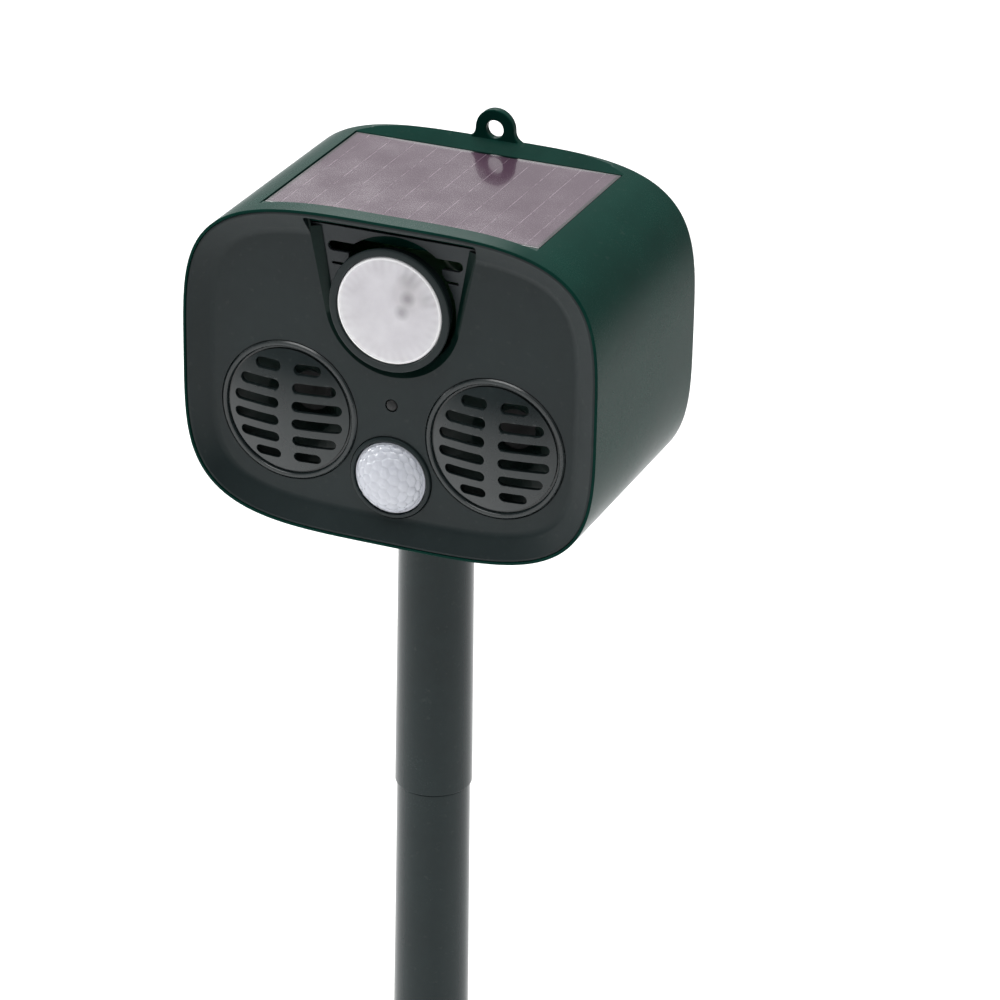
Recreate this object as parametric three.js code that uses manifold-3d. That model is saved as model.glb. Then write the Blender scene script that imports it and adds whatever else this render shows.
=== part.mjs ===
// Solar ultrasonic pest repeller on a push-in pole. Millimetres, +Z up, the face looks towards -Y.
// The origin is on the pole's axis at ground level.
import * as THREE from 'three';
import Module from 'manifold-3d';

const wasm = await Module();
wasm.setup();

// ---- driving dimensions -------------------------------------------------------------------
const GAP = 0.3;               // clearance left between pieces that touch
const WALL = 2.2;

const HEAD_WIDTH = 145;
const HEAD_HEIGHT = 112.4;
const HEAD_DEPTH = 89;
const OUTLINE_POWER = 3.85;    // the head's outline is a superellipse of this power
const OUTLINE_POINTS = 56;
const FRONT_Y = -42;
const BACK_Y = FRONT_Y + HEAD_DEPTH;
const REAR_EDGE_RADIUS = 3;

const TUBE_LENGTH = 125;
const TUBE_TOP_RADIUS = 12.6;  // each tube widens downwards by its moulding draft
const TUBE_FOOT_RADIUS = 13.3;
const TUBE_WALL = 1.9;
const SPIGOT_LENGTH = 16;
const FLANGE_THICKNESS = 3;
const SPIKE_LENGTH = 150;
const SOCKET_DEPTH = 18;
const LOWER_TUBE_Z = FLANGE_THICKNESS + GAP;
const SEAM_Z = LOWER_TUBE_Z + TUBE_LENGTH;
const UPPER_TUBE_Z = SEAM_Z + GAP;
const HEAD_BASE_Z = UPPER_TUBE_Z + TUBE_LENGTH - SOCKET_DEPTH;
const HEAD_Z = HEAD_BASE_Z + HEAD_HEIGHT / 2;

const FACE_Y = FRONT_Y + 4.4;          // the flat of the front panel, sunk behind its rim
const PANEL_RIM_Y = FRONT_Y + 0.4;
const PANEL_RIM_INSET = 1.4;
const PANEL_RIM_BACK_Y = FRONT_Y + 4.7;
const PANEL_BACK_Y = FACE_Y + 1.8;
const BAND_WIDTH = 6.7;
const GASKET_THICKNESS = 0.5;
const LEDGE_Y = PANEL_RIM_BACK_Y + GASKET_THICKNESS + 2 * GAP;
const LEDGE_INSET = 5;
const BEHIND_PANEL_Y = PANEL_BACK_Y + GAP;

const SPEAKER_X = 36.3;
const SPEAKER_Z = HEAD_Z - 16.1;
const GRILLE_RADIUS = 24.1;
const GRILLE_DOME_RADIUS = 21.4;
const GRILLE_DOME_HEIGHT = 3.4;
const SLOT_ROWS = 6;
const SLOT_PITCH = 6.2;
const SLOT_HEIGHT = 3.3;
const GRILLE_BAR = 5;

const LAMP_Z = HEAD_Z + 26;
const LENS_RADIUS = 18.1;
const COLLAR_RADIUS = 21;
const NOTCH_RADIUS = 23.8;
const NOTCH_TOP_Z = HEAD_Z + 53.4;
const NOTCH_TOP_HALF = 30;
const NOTCH_CORNER = 1.5;
const NOTCH_SLOPE = 2.4;               // how far the notch's wall leans in round the circle
const NOTCH_SIDE_SLOPE = 3.8;          // and along its straight sides
const LOUVRE_TOP_Z = HEAD_Z + 50.1;
const LOUVRE_THICKNESS = 1.4;
const CRESCENT_RADIUS = 23.6;          // the vent over the collar, cut off square at both ends
const CRESCENT_HALF_WIDTH = 16.2;
const CRESCENT_RISE = 12;
const LOUVRE_SLOTS = [                 // nearX, farX, rise over the lamp's axis, height
  [12, 23.4, 17.1, 3.4],
  [17, 22, 11.3, 0.9],
];

const PIR_Z = HEAD_Z - 33.2;
const PIR_RADIUS = 12.4;
const PIR_HEIGHT = 6;
const INDICATOR_Z = HEAD_Z - 7.8;

const POCKET_HALF_WIDTH = 48;          // the pocket in the top that holds the solar panel
const POCKET_LIP_Y = FRONT_Y + 7.1;
const POCKET_FRONT_Y = FRONT_Y + 9.8;
const POCKET_BACK_Y = FRONT_Y + 81;
const TRAY_BACK_Y = FRONT_Y + 84.8;    // the tray's rear wall is thick, as the roof slopes into it
const POCKET_FLOOR_Z = HEAD_Z + 48;
const PANEL_TOP_Z = HEAD_Z + 52.7;
const SLOPE_RUN = 6;                   // the roof falls to the panel's rear edge by this slope
const SLOPE_RISE = 3.5;
const CELL_STRIPS = 11;

const LUG_HOLE_Z = HEAD_Z + 59.2;
const LUG_HOLE_RADIUS = 3.1;
const LUG_RADIUS = 6.9;
const LUG_THICKNESS = 3;

const COVER_BACK_Y = BACK_Y - 0.3;
const COVER_THICKNESS = 2.6;
const COVER_Y = COVER_BACK_Y - COVER_THICKNESS;
const COVER_INSET = 1.6;
const SCREW_X = 57.4;
const SCREW_Z = 40.8;

const CELL_RADIUS = 7.1;               // AA cells
const CELL_LENGTH = 50;
const CELL_PITCH = 15;
const CELL_COUNT = 3;
const BATTERY_Z = HEAD_Z + 19;
const WELL_HALF_WIDTH = 29;
const WELL_HALF_HEIGHT = 23.2;
const WELL_FLOOR_Y = COVER_Y - 17;
const WELL_WALL = 1.6;
const DOOR_MARGIN = 2.4;

const CONTROL_Z = HEAD_Z - 27.5;       // the sunk strip of controls in the back
const CONTROL_HALF_WIDTH = 42;
const CONTROL_HALF_HEIGHT = 11;
const CONTROL_FLOOR_Y = COVER_BACK_Y - 6;
const CONTROL_WALL = 2;
const CONTROL_BOARD_Y = CONTROL_FLOOR_Y - 14.4;
const DIAL_X = 13;
const DIAL_RADIUS = 8.5;
const DIAL_HEIGHT = 4.8;
const BUTTON_X = -33;
const BUTTON_RADIUS = 4.4;
const USB_X = 33;

const BOARD_THICKNESS = 1.6;
const MAIN_BOARD_Y = 2;

// ---- colours and finishes -----------------------------------------------------------------
const material = (colour, roughness, metalness = 0) =>
  new THREE.MeshStandardMaterial({ color: colour, roughness, metalness });
const GREEN_SHELL = material(0x17453d, 0.38);
const FACE_PLASTIC = material(0x3a454a, 0.5);
const POLE_PLASTIC = material(0x3f4d50, 0.45);
const BLACK_PLASTIC = material(0x16191a, 0.55);
const MILKY_LENS = material(0xe9e9ea, 0.25);
const CLEAR_LENS = material(0xe4e6ec, 0.12);
const MIRROR_PLASTIC = material(0xd8dade, 0.15, 0.9);
const SOLAR_CELL = material(0x5b4c5c, 0.3);
const SOLAR_SHEET = material(0x91828f, 0.15);
const BOARD_GREEN = material(0x1d5a35, 0.5);
const STEEL = material(0xb4b7ba, 0.35, 0.9);
const BRASS = material(0xb89a55, 0.35, 0.9);
const RUBBER = material(0x1b1d1e, 0.8);
const CELL_WRAP = material(0x2f6b46, 0.4);
const LED_WHITE = material(0xf2efd8, 0.4);

const repeller = new THREE.Group();
repeller.name = 'solar_pest_repeller';

// ---- solid modelling helpers --------------------------------------------------------------
function solid(geometry) {
  geometry.deleteAttribute('normal');
  geometry.deleteAttribute('uv');
  const welded = mergePoints(geometry);
  return new wasm.Manifold(new wasm.Mesh({
    numProp: 3,
    vertProperties: welded.points,
    triVerts: welded.triangles,
  }));
}

// Welds corners that fall on one point, so that the surface closes.
function mergePoints(geometry) {
  const source = geometry.index ? geometry.toNonIndexed() : geometry;
  const position = source.getAttribute('position');
  const known = new Map();
  const points = [];
  const triangles = [];
  for (let corner = 0; corner < position.count; corner += 3) {
    const face = [0, 1, 2].map((step) => {
      const at = corner + step;
      const place = [position.getX(at), position.getY(at), position.getZ(at)];
      const key = place.map((value) => Math.round(value * 1e4)).join();
      if (!known.has(key)) {
        known.set(key, points.length / 3);
        points.push(...place);
      }
      return known.get(key);
    });
    if (new Set(face).size === 3) triangles.push(...face);
  }
  return { points: new Float32Array(points), triangles: new Uint32Array(triangles) };
}

const unite = (pieces) => pieces.reduce((sum, piece) => sum.add(piece));
const cut = (body, tools) => tools.reduce((rest, tool) => rest.subtract(tool), body);

function addPiece(name, body, look) {
  const mesh = body.getMesh();
  const geometry = new THREE.BufferGeometry();
  geometry.setAttribute('position', new THREE.BufferAttribute(new Float32Array(mesh.vertProperties), 3));
  geometry.setIndex(new THREE.BufferAttribute(new Uint32Array(mesh.triVerts), 1));
  geometry.computeVertexNormals();
  const piece = new THREE.Mesh(geometry, look);
  piece.name = name;
  repeller.add(piece);
}

// A flat outline in X and Z, carried along Y from frontY to backY. An edge of { width, depth }
// slopes (or rounds, with more than one step) both ends inwards.
function prismY(shape, frontY, backY, edge = null) {
  const bevel = edge
    ? {
      bevelEnabled: true,
      bevelThickness: edge.depth,
      bevelSize: edge.width,
      bevelOffset: -edge.width,
      bevelSegments: edge.steps ?? 1,
    }
    : { bevelEnabled: false };
  const inner = edge ? edge.depth : 0;
  const geometry = new THREE.ExtrudeGeometry(shape, {
    depth: backY - frontY - 2 * inner,
    curveSegments: 3,
    ...bevel,
  });
  geometry.rotateX(Math.PI / 2);
  geometry.translate(0, backY - inner, 0);
  return solid(geometry);
}

// A turned body about an axis along Y. The profile lists [radius, y] and closes on itself.
function turnedY(profile, x, z, segments = 28) {
  const corners = profile.map(([radius, y]) => new THREE.Vector2(radius, y));
  if (THREE.ShapeUtils.area(corners) < 0) corners.reverse();
  corners.push(corners[0].clone());
  return solid(new THREE.LatheGeometry(corners, segments)).translate([x, 0, z]);
}

function cylinderY(radius, frontY, backY, x, z, segments = 24) {
  const geometry = new THREE.CylinderGeometry(radius, radius, backY - frontY, segments);
  geometry.translate(0, (frontY + backY) / 2, 0);
  return solid(geometry).translate([x, 0, z]);
}

function coneZ(topRadius, footRadius, footZ, topZ, segments = 36) {
  const geometry = new THREE.CylinderGeometry(topRadius, footRadius, topZ - footZ, segments);
  geometry.rotateX(Math.PI / 2);
  geometry.translate(0, 0, (footZ + topZ) / 2);
  return solid(geometry);
}

function cylinderX(radius, fromX, toX, y, z, segments = 20) {
  const geometry = new THREE.CylinderGeometry(radius, radius, toX - fromX, segments);
  geometry.rotateZ(Math.PI / 2);
  geometry.translate((fromX + toX) / 2, y, z);
  return solid(geometry);
}

function box(fromX, toX, fromY, toY, fromZ, toZ) {
  const geometry = new THREE.BoxGeometry(toX - fromX, toY - fromY, toZ - fromZ);
  geometry.translate((fromX + toX) / 2, (fromY + toY) / 2, (fromZ + toZ) / 2);
  return solid(geometry);
}

// ---- outlines -----------------------------------------------------------------------------
function headOutline(inset) {
  const halfWidth = HEAD_WIDTH / 2 - inset;
  const halfHeight = HEAD_HEIGHT / 2 - inset;
  const points = [];
  for (let index = 0; index < OUTLINE_POINTS; index += 1) {
    const angle = (index / OUTLINE_POINTS) * Math.PI * 2;
    const cosine = Math.cos(angle);
    const sine = Math.sin(angle);
    const bend = 2 / OUTLINE_POWER;
    points.push(new THREE.Vector2(
      halfWidth * Math.sign(cosine) * Math.abs(cosine) ** bend,
      HEAD_Z + halfHeight * Math.sign(sine) * Math.abs(sine) ** bend,
    ));
  }
  return new THREE.Shape(points);
}

function ringOutline(outerInset, innerInset) {
  const outline = headOutline(outerInset);
  outline.holes.push(headOutline(innerInset));
  return outline;
}

// Carries an outline round a circle's centre in straight steps.
function addArc(outline, x, z, radius, fromAngle, toAngle, steps) {
  for (let index = 0; index <= steps; index += 1) {
    const angle = fromAngle + (toAngle - fromAngle) * (index / steps);
    const corner = [x + radius * Math.cos(angle), z + radius * Math.sin(angle)];
    if (outline.curves.length || index) outline.lineTo(...corner);
    else outline.moveTo(...corner);
  }
}

function roundedBox(halfWidth, halfHeight, radius, x, z) {
  const outline = new THREE.Shape();
  const right = x + halfWidth - radius;
  const left = x - halfWidth + radius;
  const top = z + halfHeight - radius;
  const bottom = z - halfHeight + radius;
  addArc(outline, right, top, radius, 0, Math.PI / 2, 3);
  addArc(outline, left, top, radius, Math.PI / 2, Math.PI, 3);
  addArc(outline, left, bottom, radius, Math.PI, Math.PI * 1.5, 3);
  addArc(outline, right, bottom, radius, Math.PI * 1.5, Math.PI * 2, 3);
  outline.closePath();
  return outline;
}

// The notch round the lamp: a circle below, with straight sides that spread towards a flat top.
function notchOutline(radius, half, topZ) {
  const rise = topZ - LAMP_Z;
  const reach = Math.hypot(half, rise);
  const tangent = Math.atan2(rise, half) - Math.acos(radius / reach);
  const corner = NOTCH_CORNER;
  const outline = new THREE.Shape();
  addArc(outline, 0, LAMP_Z, radius, Math.PI - tangent, Math.PI * 2 + tangent, 20);
  outline.lineTo(half - 0.2 * corner, topZ - corner);
  outline.quadraticCurveTo(half, topZ, half - corner, topZ);
  outline.lineTo(corner - half, topZ);
  outline.quadraticCurveTo(-half, topZ, 0.2 * corner - half, topZ - corner);
  outline.closePath();
  return outline;
}

// The notch as a solid to cut away: straight down to the face, then leaning in to the panel's back.
function notchHollow() {
  const wide = notchOutline(NOTCH_RADIUS, NOTCH_TOP_HALF, NOTCH_TOP_Z);
  const narrow = notchOutline(
    NOTCH_RADIUS - NOTCH_SLOPE, NOTCH_TOP_HALF - NOTCH_SIDE_SLOPE, NOTCH_TOP_Z - 1,
  );
  const rings = [[wide, FACE_Y - 0.01], [narrow, PANEL_BACK_Y + 0.01]];
  const points = rings.flatMap(([outline, y]) => outline.getPoints(3).map((at) => [at.x, y, at.y]));
  return prismY(wide, FRONT_Y - 20, FACE_Y).add(wasm.Manifold.hull(points));
}

// A round-ended slot lying along X.
function slotOutline(fromX, toX, z, height) {
  const radius = height / 2;
  const outline = new THREE.Shape();
  addArc(outline, toX - radius, z, radius, -Math.PI / 2, Math.PI / 2, 4);
  addArc(outline, fromX + radius, z, radius, Math.PI / 2, Math.PI * 1.5, 4);
  outline.closePath();
  return outline;
}

// ---- main shell ---------------------------------------------------------------------------
function lug() {
  const outline = new THREE.Shape();
  const footZ = HEAD_Z + HEAD_HEIGHT / 2 - 1.6;
  outline.moveTo(-12.5, footZ - 3);
  outline.lineTo(-12.5, footZ);
  outline.quadraticCurveTo(-LUG_RADIUS, footZ + 0.6, -LUG_RADIUS, LUG_HOLE_Z);
  addArc(outline, 0, LUG_HOLE_Z, LUG_RADIUS, Math.PI, 0, 12);
  outline.quadraticCurveTo(LUG_RADIUS, footZ + 0.6, 12.5, footZ);
  outline.lineTo(12.5, footZ - 3);
  outline.closePath();
  const hole = cylinderY(LUG_HOLE_RADIUS, BACK_Y - 20, BACK_Y + 1, 0, LUG_HOLE_Z);
  return { body: prismY(outline, BACK_Y - LUG_THICKNESS, BACK_Y), hole };
}

function solarPocket(envelope) {
  const wide = POCKET_HALF_WIDTH + 1.8;
  const skin = POCKET_FLOOR_Z - 2;
  const top = HEAD_Z + HEAD_HEIGHT / 2 + 1;
  const tray = box(-wide, wide, POCKET_FRONT_Y - 1.5, TRAY_BACK_Y, skin, top);
  const sill = box(-wide, wide, LEDGE_Y, POCKET_FRONT_Y, PANEL_TOP_Z - 1.4, top);
  const half = POCKET_HALF_WIDTH;
  const body = tray.add(sill).intersect(envelope);
  const hollow = box(-half, half, POCKET_FRONT_Y, POCKET_BACK_Y, POCKET_FLOOR_Z, top);
  const slopeY = POCKET_BACK_Y + (top - PANEL_TOP_Z) * (SLOPE_RUN / SLOPE_RISE);
  const mouth = wasm.Manifold.hull([
    [-half, POCKET_LIP_Y, PANEL_TOP_Z],
    [half, POCKET_LIP_Y, PANEL_TOP_Z],
    [-half, POCKET_BACK_Y, PANEL_TOP_Z],
    [half, POCKET_BACK_Y, PANEL_TOP_Z],
    [-half, POCKET_LIP_Y, top],
    [half, POCKET_LIP_Y, top],
    [-half, slopeY, top],
    [half, slopeY, top],
  ]);
  return { body, hollow: hollow.add(mouth) };
}

function screwPosts(envelope) {
  const posts = [];
  for (const x of [-SCREW_X, SCREW_X]) {
    for (const side of [-1, 1]) {
      posts.push(cylinderY(5, COVER_Y - 20, COVER_Y - 4 * GAP, x, HEAD_Z + side * SCREW_Z, 24));
    }
  }
  return unite(posts).intersect(envelope);
}

function screwHoles(radius, frontY, backY) {
  const holes = [];
  for (const x of [-SCREW_X, SCREW_X]) {
    for (const side of [-1, 1]) {
      holes.push(cylinderY(radius, frontY, backY, x, HEAD_Z + side * SCREW_Z, 20));
    }
  }
  return unite(holes);
}

function mainShell() {
  const round = { width: REAR_EDGE_RADIUS, depth: REAR_EDGE_RADIUS, steps: 3 };
  const long = prismY(headOutline(0), FRONT_Y - 20, BACK_Y, round);
  const envelope = long.trimByPlane([0, 1, 0], FRONT_Y);
  const cavity = unite([
    prismY(headOutline(PANEL_RIM_INSET - GAP), FRONT_Y - 1, LEDGE_Y),
    prismY(headOutline(LEDGE_INSET), LEDGE_Y - 1, LEDGE_Y + 3),
    prismY(headOutline(WALL), LEDGE_Y + 2, COVER_Y - 2 * GAP),
    prismY(headOutline(COVER_INSET), COVER_Y - 2 * GAP, BACK_Y + 1),
  ]);
  const pocket = solarPocket(envelope);
  const hanger = lug();
  const socketTop = HEAD_BASE_Z + SOCKET_DEPTH + GAP + 2;
  const socket = coneZ(15.2, 15.2, HEAD_BASE_Z + 0.6, socketTop);
  const bore = coneZ(
    TUBE_TOP_RADIUS + GAP,
    TUBE_TOP_RADIUS + GAP + 0.1,
    HEAD_BASE_Z - 1,
    HEAD_BASE_Z + SOCKET_DEPTH + GAP,
  );
  const ear = cut(hanger.body, [cavity]);
  const body = unite([cut(envelope, [cavity]), pocket.body, screwPosts(envelope), socket]);
  const pilots = screwHoles(1.6, COVER_Y - 16, COVER_Y);
  const shell = cut(body, [pocket.hollow, bore, pilots]).add(ear);
  addPiece('main_shell', cut(shell, [hanger.hole]), GREEN_SHELL);
}

// ---- front panel --------------------------------------------------------------------------
function frontPanel() {
  const rim = prismY(headOutline(PANEL_RIM_INSET), PANEL_RIM_Y, PANEL_RIM_BACK_Y);
  const plate = prismY(headOutline(LEDGE_INSET + 1.5), PANEL_RIM_Y, PANEL_BACK_Y);
  const slope = { width: BAND_WIDTH, depth: FACE_Y - PANEL_RIM_Y };
  const dish = prismY(headOutline(PANEL_RIM_INSET + 0.5), FRONT_Y - 20, FACE_Y, slope);
  const tools = [
    dish,
    notchHollow(),
    cylinderY(GRILLE_RADIUS + GAP, FRONT_Y, 0, -SPEAKER_X, SPEAKER_Z, 36),
    cylinderY(GRILLE_RADIUS + GAP, FRONT_Y, 0, SPEAKER_X, SPEAKER_Z, 36),
    cylinderY(PIR_RADIUS + 2.1, FRONT_Y, 0, 0, PIR_Z, 32),
    cylinderY(2.2, FRONT_Y, 0, 0, INDICATOR_Z, 20),
  ];
  addPiece('front_panel', cut(rim.add(plate), tools), FACE_PLASTIC);

  const gasketY = PANEL_RIM_BACK_Y + GAP;
  const gasket = ringOutline(PANEL_RIM_INSET + 0.5, LEDGE_INSET - 0.2);
  const seal = prismY(gasket, gasketY, gasketY + GASKET_THICKNESS);
  const half = NOTCH_TOP_HALF + 1;
  const gap = box(-half, half, FRONT_Y, BACK_Y, LAMP_Z, HEAD_Z + HEAD_HEIGHT);
  addPiece('front_gasket', cut(seal, [gap]), RUBBER);
}

// ---- lamp ---------------------------------------------------------------------------------
function lampSurround() {
  const backY = BEHIND_PANEL_Y + LOUVRE_THICKNESS;
  const outline = notchOutline(NOTCH_RADIUS + 0.6, NOTCH_TOP_HALF + 0.6, LOUVRE_TOP_Z);
  const plate = prismY(outline, BEHIND_PANEL_Y, backY);
  const ends = backY + 1;
  const tools = [cylinderY(COLLAR_RADIUS + GAP, FRONT_Y, ends, 0, LAMP_Z, 40)];
  const disc = cylinderY(CRESCENT_RADIUS, FRONT_Y, ends, 0, LAMP_Z, 40);
  const half = CRESCENT_HALF_WIDTH;
  tools.push(disc.intersect(box(-half, half, FRONT_Y, ends, LAMP_Z + CRESCENT_RISE, LAMP_Z + 40)));
  for (const [nearX, farX, rise, height] of LOUVRE_SLOTS) {
    for (const [fromX, toX] of [[nearX, farX], [-farX, -nearX]]) {
      tools.push(prismY(slotOutline(fromX, toX, LAMP_Z + rise, height), FRONT_Y, ends));
    }
  }
  addPiece('lamp_surround', cut(plate, tools), FACE_PLASTIC);
}

function lamp() {
  lampSurround();
  const lipY = FACE_Y - 2.8;
  const seatY = lipY + 2.4;
  addPiece('lamp_collar', turnedY([
    [LENS_RADIUS + GAP, lipY],
    [COLLAR_RADIUS - 1, lipY],
    [COLLAR_RADIUS, lipY + 1],
    [COLLAR_RADIUS, BEHIND_PANEL_Y + LOUVRE_THICKNESS],
    [LENS_RADIUS - 0.4, BEHIND_PANEL_Y + LOUVRE_THICKNESS],
    [LENS_RADIUS - 0.4, seatY],
    [LENS_RADIUS + GAP, seatY],
  ], 0, LAMP_Z, 40), FACE_PLASTIC);

  const lensBack = seatY - GAP;
  addPiece('lamp_lens', turnedY([
    [0, lipY - 0.6],
    [LENS_RADIUS * 0.5, lipY - 0.45],
    [LENS_RADIUS * 0.9, lipY],
    [LENS_RADIUS, lipY + 0.5],
    [LENS_RADIUS, lensBack],
    [0, lensBack],
  ], 0, LAMP_Z, 36), CLEAR_LENS);

  const mouth = LENS_RADIUS - 0.8;
  const cupDepth = 14;
  const cupY = seatY + 0.2;
  const inside = [];
  const outside = [];
  const steps = 4;
  for (let index = 0; index <= steps; index += 1) {
    const share = index / steps;
    const radius = 6.4 + (mouth - 1.2 - 6.4) * Math.sqrt(1 - share);
    inside.push([radius, cupY + cupDepth * share]);
    outside.unshift([radius + 1.1, cupY + cupDepth * share]);
  }
  addPiece('lamp_reflector', turnedY([...inside, ...outside], 0, LAMP_Z, 28), MIRROR_PLASTIC);

  const boardY = cupY + cupDepth + GAP;
  addPiece('lamp_board', cylinderY(9, boardY, boardY + BOARD_THICKNESS, 0, LAMP_Z, 32), BOARD_GREEN);
  const chip = box(-4.2, 4.2, boardY - 1.2, boardY - GAP, LAMP_Z - 4.2, LAMP_Z + 4.2);
  const emitters = [];
  for (const x of [-2, 2]) {
    for (const rise of [-2, 2]) {
      emitters.push(cylinderY(1.5, boardY - 2, boardY - 1, x, LAMP_Z + rise, 20));
    }
  }
  addPiece('lamp_led', chip.add(unite(emitters)), LED_WHITE);
}

// ---- speakers -----------------------------------------------------------------------------
function speaker(side, x) {
  const domeY = FACE_Y - 0.1;
  const front = [];
  const back = [];
  const steps = 4;
  for (let index = 0; index <= steps; index += 1) {
    const share = index / steps;
    const rise = GRILLE_DOME_HEIGHT * (1 - share * share);
    front.push([GRILLE_DOME_RADIUS * share, domeY - rise]);
    back.unshift([GRILLE_DOME_RADIUS * share, domeY + 1.6 - rise]);
  }
  const rimBack = PANEL_BACK_Y - 0.2;
  const dome = turnedY([
    ...front,
    [GRILLE_DOME_RADIUS + 0.5, domeY],
    [GRILLE_DOME_RADIUS + 0.5, domeY - 0.3],
    [GRILLE_RADIUS, domeY - 0.3],
    [GRILLE_RADIUS, rimBack],
    [GRILLE_DOME_RADIUS, rimBack],
    ...back,
  ], x, SPEAKER_Z, 32);
  const slots = [];
  for (let row = 0; row < SLOT_ROWS; row += 1) {
    const rise = (row - (SLOT_ROWS - 1) / 2) * SLOT_PITCH;
    const farX = Math.sqrt((GRILLE_DOME_RADIUS - 2) ** 2 - rise * rise);
    const nearX = GRILLE_BAR / 2;
    for (const [fromX, toX] of [[nearX, farX], [-farX, -nearX]]) {
      const outline = slotOutline(x + fromX, x + toX, SPEAKER_Z + rise, SLOT_HEIGHT);
      slots.push(prismY(outline, FRONT_Y - 2, PANEL_BACK_Y + 1));
    }
  }
  addPiece(`speaker_grille_${side}`, cut(dome, [unite(slots)]), FACE_PLASTIC);

  const flangeY = BEHIND_PANEL_Y;
  const throatY = flangeY + 15;
  addPiece(`speaker_horn_${side}`, turnedY([
    [22.4, flangeY],
    [25.5, flangeY],
    [25.5, flangeY + 1.5],
    [22.6, flangeY + 1.5],
    [14, flangeY + 8],
    [8.6, throatY],
    [7, throatY],
    [12.4, flangeY + 7.4],
    [20.8, flangeY + 1.2],
  ], x, SPEAKER_Z, 28), BLACK_PLASTIC);

  const driverY = throatY + GAP;
  addPiece(`piezo_driver_${side}`, turnedY([
    [0, driverY + 1],
    [5, driverY],
    [14, driverY],
    [14, driverY + 7],
    [11, driverY + 9],
    [0, driverY + 9],
  ], x, SPEAKER_Z, 28), BLACK_PLASTIC);
}

// ---- motion sensor and indicator ----------------------------------------------------------
function motionSensor() {
  const footY = FACE_Y - 0.2;
  const outer = [];
  const inner = [];
  const steps = 4;
  for (let index = 0; index <= steps; index += 1) {
    const angle = (index / steps) * (Math.PI / 2);
    outer.push([PIR_RADIUS * Math.sin(angle), footY - PIR_HEIGHT * Math.cos(angle)]);
    inner.unshift([(PIR_RADIUS - 1) * Math.sin(angle), footY - (PIR_HEIGHT - 1) * Math.cos(angle)]);
  }
  const flangeY = BEHIND_PANEL_Y;
  addPiece('pir_lens', turnedY([
    ...outer,
    [PIR_RADIUS, flangeY],
    [PIR_RADIUS + 1.6, flangeY],
    [PIR_RADIUS + 1.6, flangeY + 1],
    [PIR_RADIUS - 1, flangeY + 1],
    ...inner,
  ], 0, PIR_Z, 28), MILKY_LENS);

  addPiece('pir_retaining_ring', turnedY([
    [PIR_RADIUS + GAP, FACE_Y - 0.9],
    [PIR_RADIUS + 1.2, FACE_Y - 1],
    [PIR_RADIUS + 1.8, FACE_Y - 0.4],
    [PIR_RADIUS + 1.8, PANEL_BACK_Y - 0.2],
    [PIR_RADIUS + GAP, PANEL_BACK_Y - 0.2],
  ], 0, PIR_Z, 32), FACE_PLASTIC);

  const boardY = flangeY + 7;
  addPiece('pir_board', box(-12, 12, boardY, boardY + BOARD_THICKNESS, PIR_Z - 11, PIR_Z + 11), BOARD_GREEN);
  const can = cylinderY(4.6, boardY - 4.6, boardY - GAP - 0.9, 0, PIR_Z, 28);
  const brim = cylinderY(5.4, boardY - GAP - 0.9, boardY - GAP, 0, PIR_Z, 28);
  addPiece('pir_sensor', can.add(brim), STEEL);

  const pipe = cylinderY(1.9, FACE_Y - 0.3, PANEL_BACK_Y + 4, 0, INDICATOR_Z, 18);
  const collar = cylinderY(3, BEHIND_PANEL_Y, PANEL_BACK_Y + 4, 0, INDICATOR_Z, 18);
  addPiece('indicator_light_pipe', pipe.add(collar), CLEAR_LENS);
}

// ---- solar panel --------------------------------------------------------------------------
function solarPanel() {
  const half = POCKET_HALF_WIDTH - 0.4;
  const frontY = POCKET_FRONT_Y + 0.4;
  const backY = POCKET_BACK_Y - 0.4;
  const boardZ = POCKET_FLOOR_Z + GAP;
  addPiece('solar_backing_board', box(-half, half, frontY, backY, boardZ, boardZ + 1.5), BOARD_GREEN);

  const cellZ = boardZ + 1.5 + GAP;
  const pitch = (2 * half - 2) / CELL_STRIPS;
  const wafer = box(1 - half, half - 1, frontY + 1, backY - 1, cellZ, cellZ + 0.4);
  const scribes = [];
  for (let index = 1; index < CELL_STRIPS; index += 1) {
    const x = 1 - half + index * pitch;
    scribes.push(box(x - 0.15, x + 0.15, frontY, backY, cellZ + 0.25, cellZ + 1));
  }
  addPiece('solar_cells', cut(wafer, scribes), SOLAR_CELL);
  addPiece('solar_cover_sheet', box(-half, half, frontY, backY, cellZ + 0.4 + GAP, PANEL_TOP_Z), SOLAR_SHEET);
}

// ---- main circuit board -------------------------------------------------------------------
function mainBoard() {
  const y = MAIN_BOARD_Y;
  addPiece('main_circuit_board', box(-45, 45, y, y + BOARD_THICKNESS, HEAD_Z - 28, HEAD_Z + 36), BOARD_GREEN);

  const partY = y + BOARD_THICKNESS + GAP;
  const chips = [
    ['controller_chip', 4, 24, 8, 6],
    ['speaker_driver_chip', -28, 20, 5, 4],
    ['charger_chip', 24, 2, 4.5, 4],
  ];
  for (const [name, x, rise, wide, tall] of chips) {
    const z = HEAD_Z + rise;
    addPiece(name, box(x - wide, x + wide, partY, partY + 1.8, z - tall, z + tall), BLACK_PLASTIC);
  }

  const cans = [['supply_capacitor', -34, -6], ['lamp_capacitor', 36, 22]];
  for (const [name, x, rise] of cans) {
    addPiece(name, cylinderY(4, partY, partY + 11, x, HEAD_Z + rise, 24), STEEL);
  }

  const coil = turnedY([
    [3, partY],
    [9, partY],
    [9, partY + 1.2],
    [7.4, partY + 1.8],
    [7.4, partY + 6],
    [9, partY + 6.6],
    [9, partY + 7.8],
    [3, partY + 7.8],
  ], 0, HEAD_Z - 8, 32);
  addPiece('board_coil', coil, BRASS);
}

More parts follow.
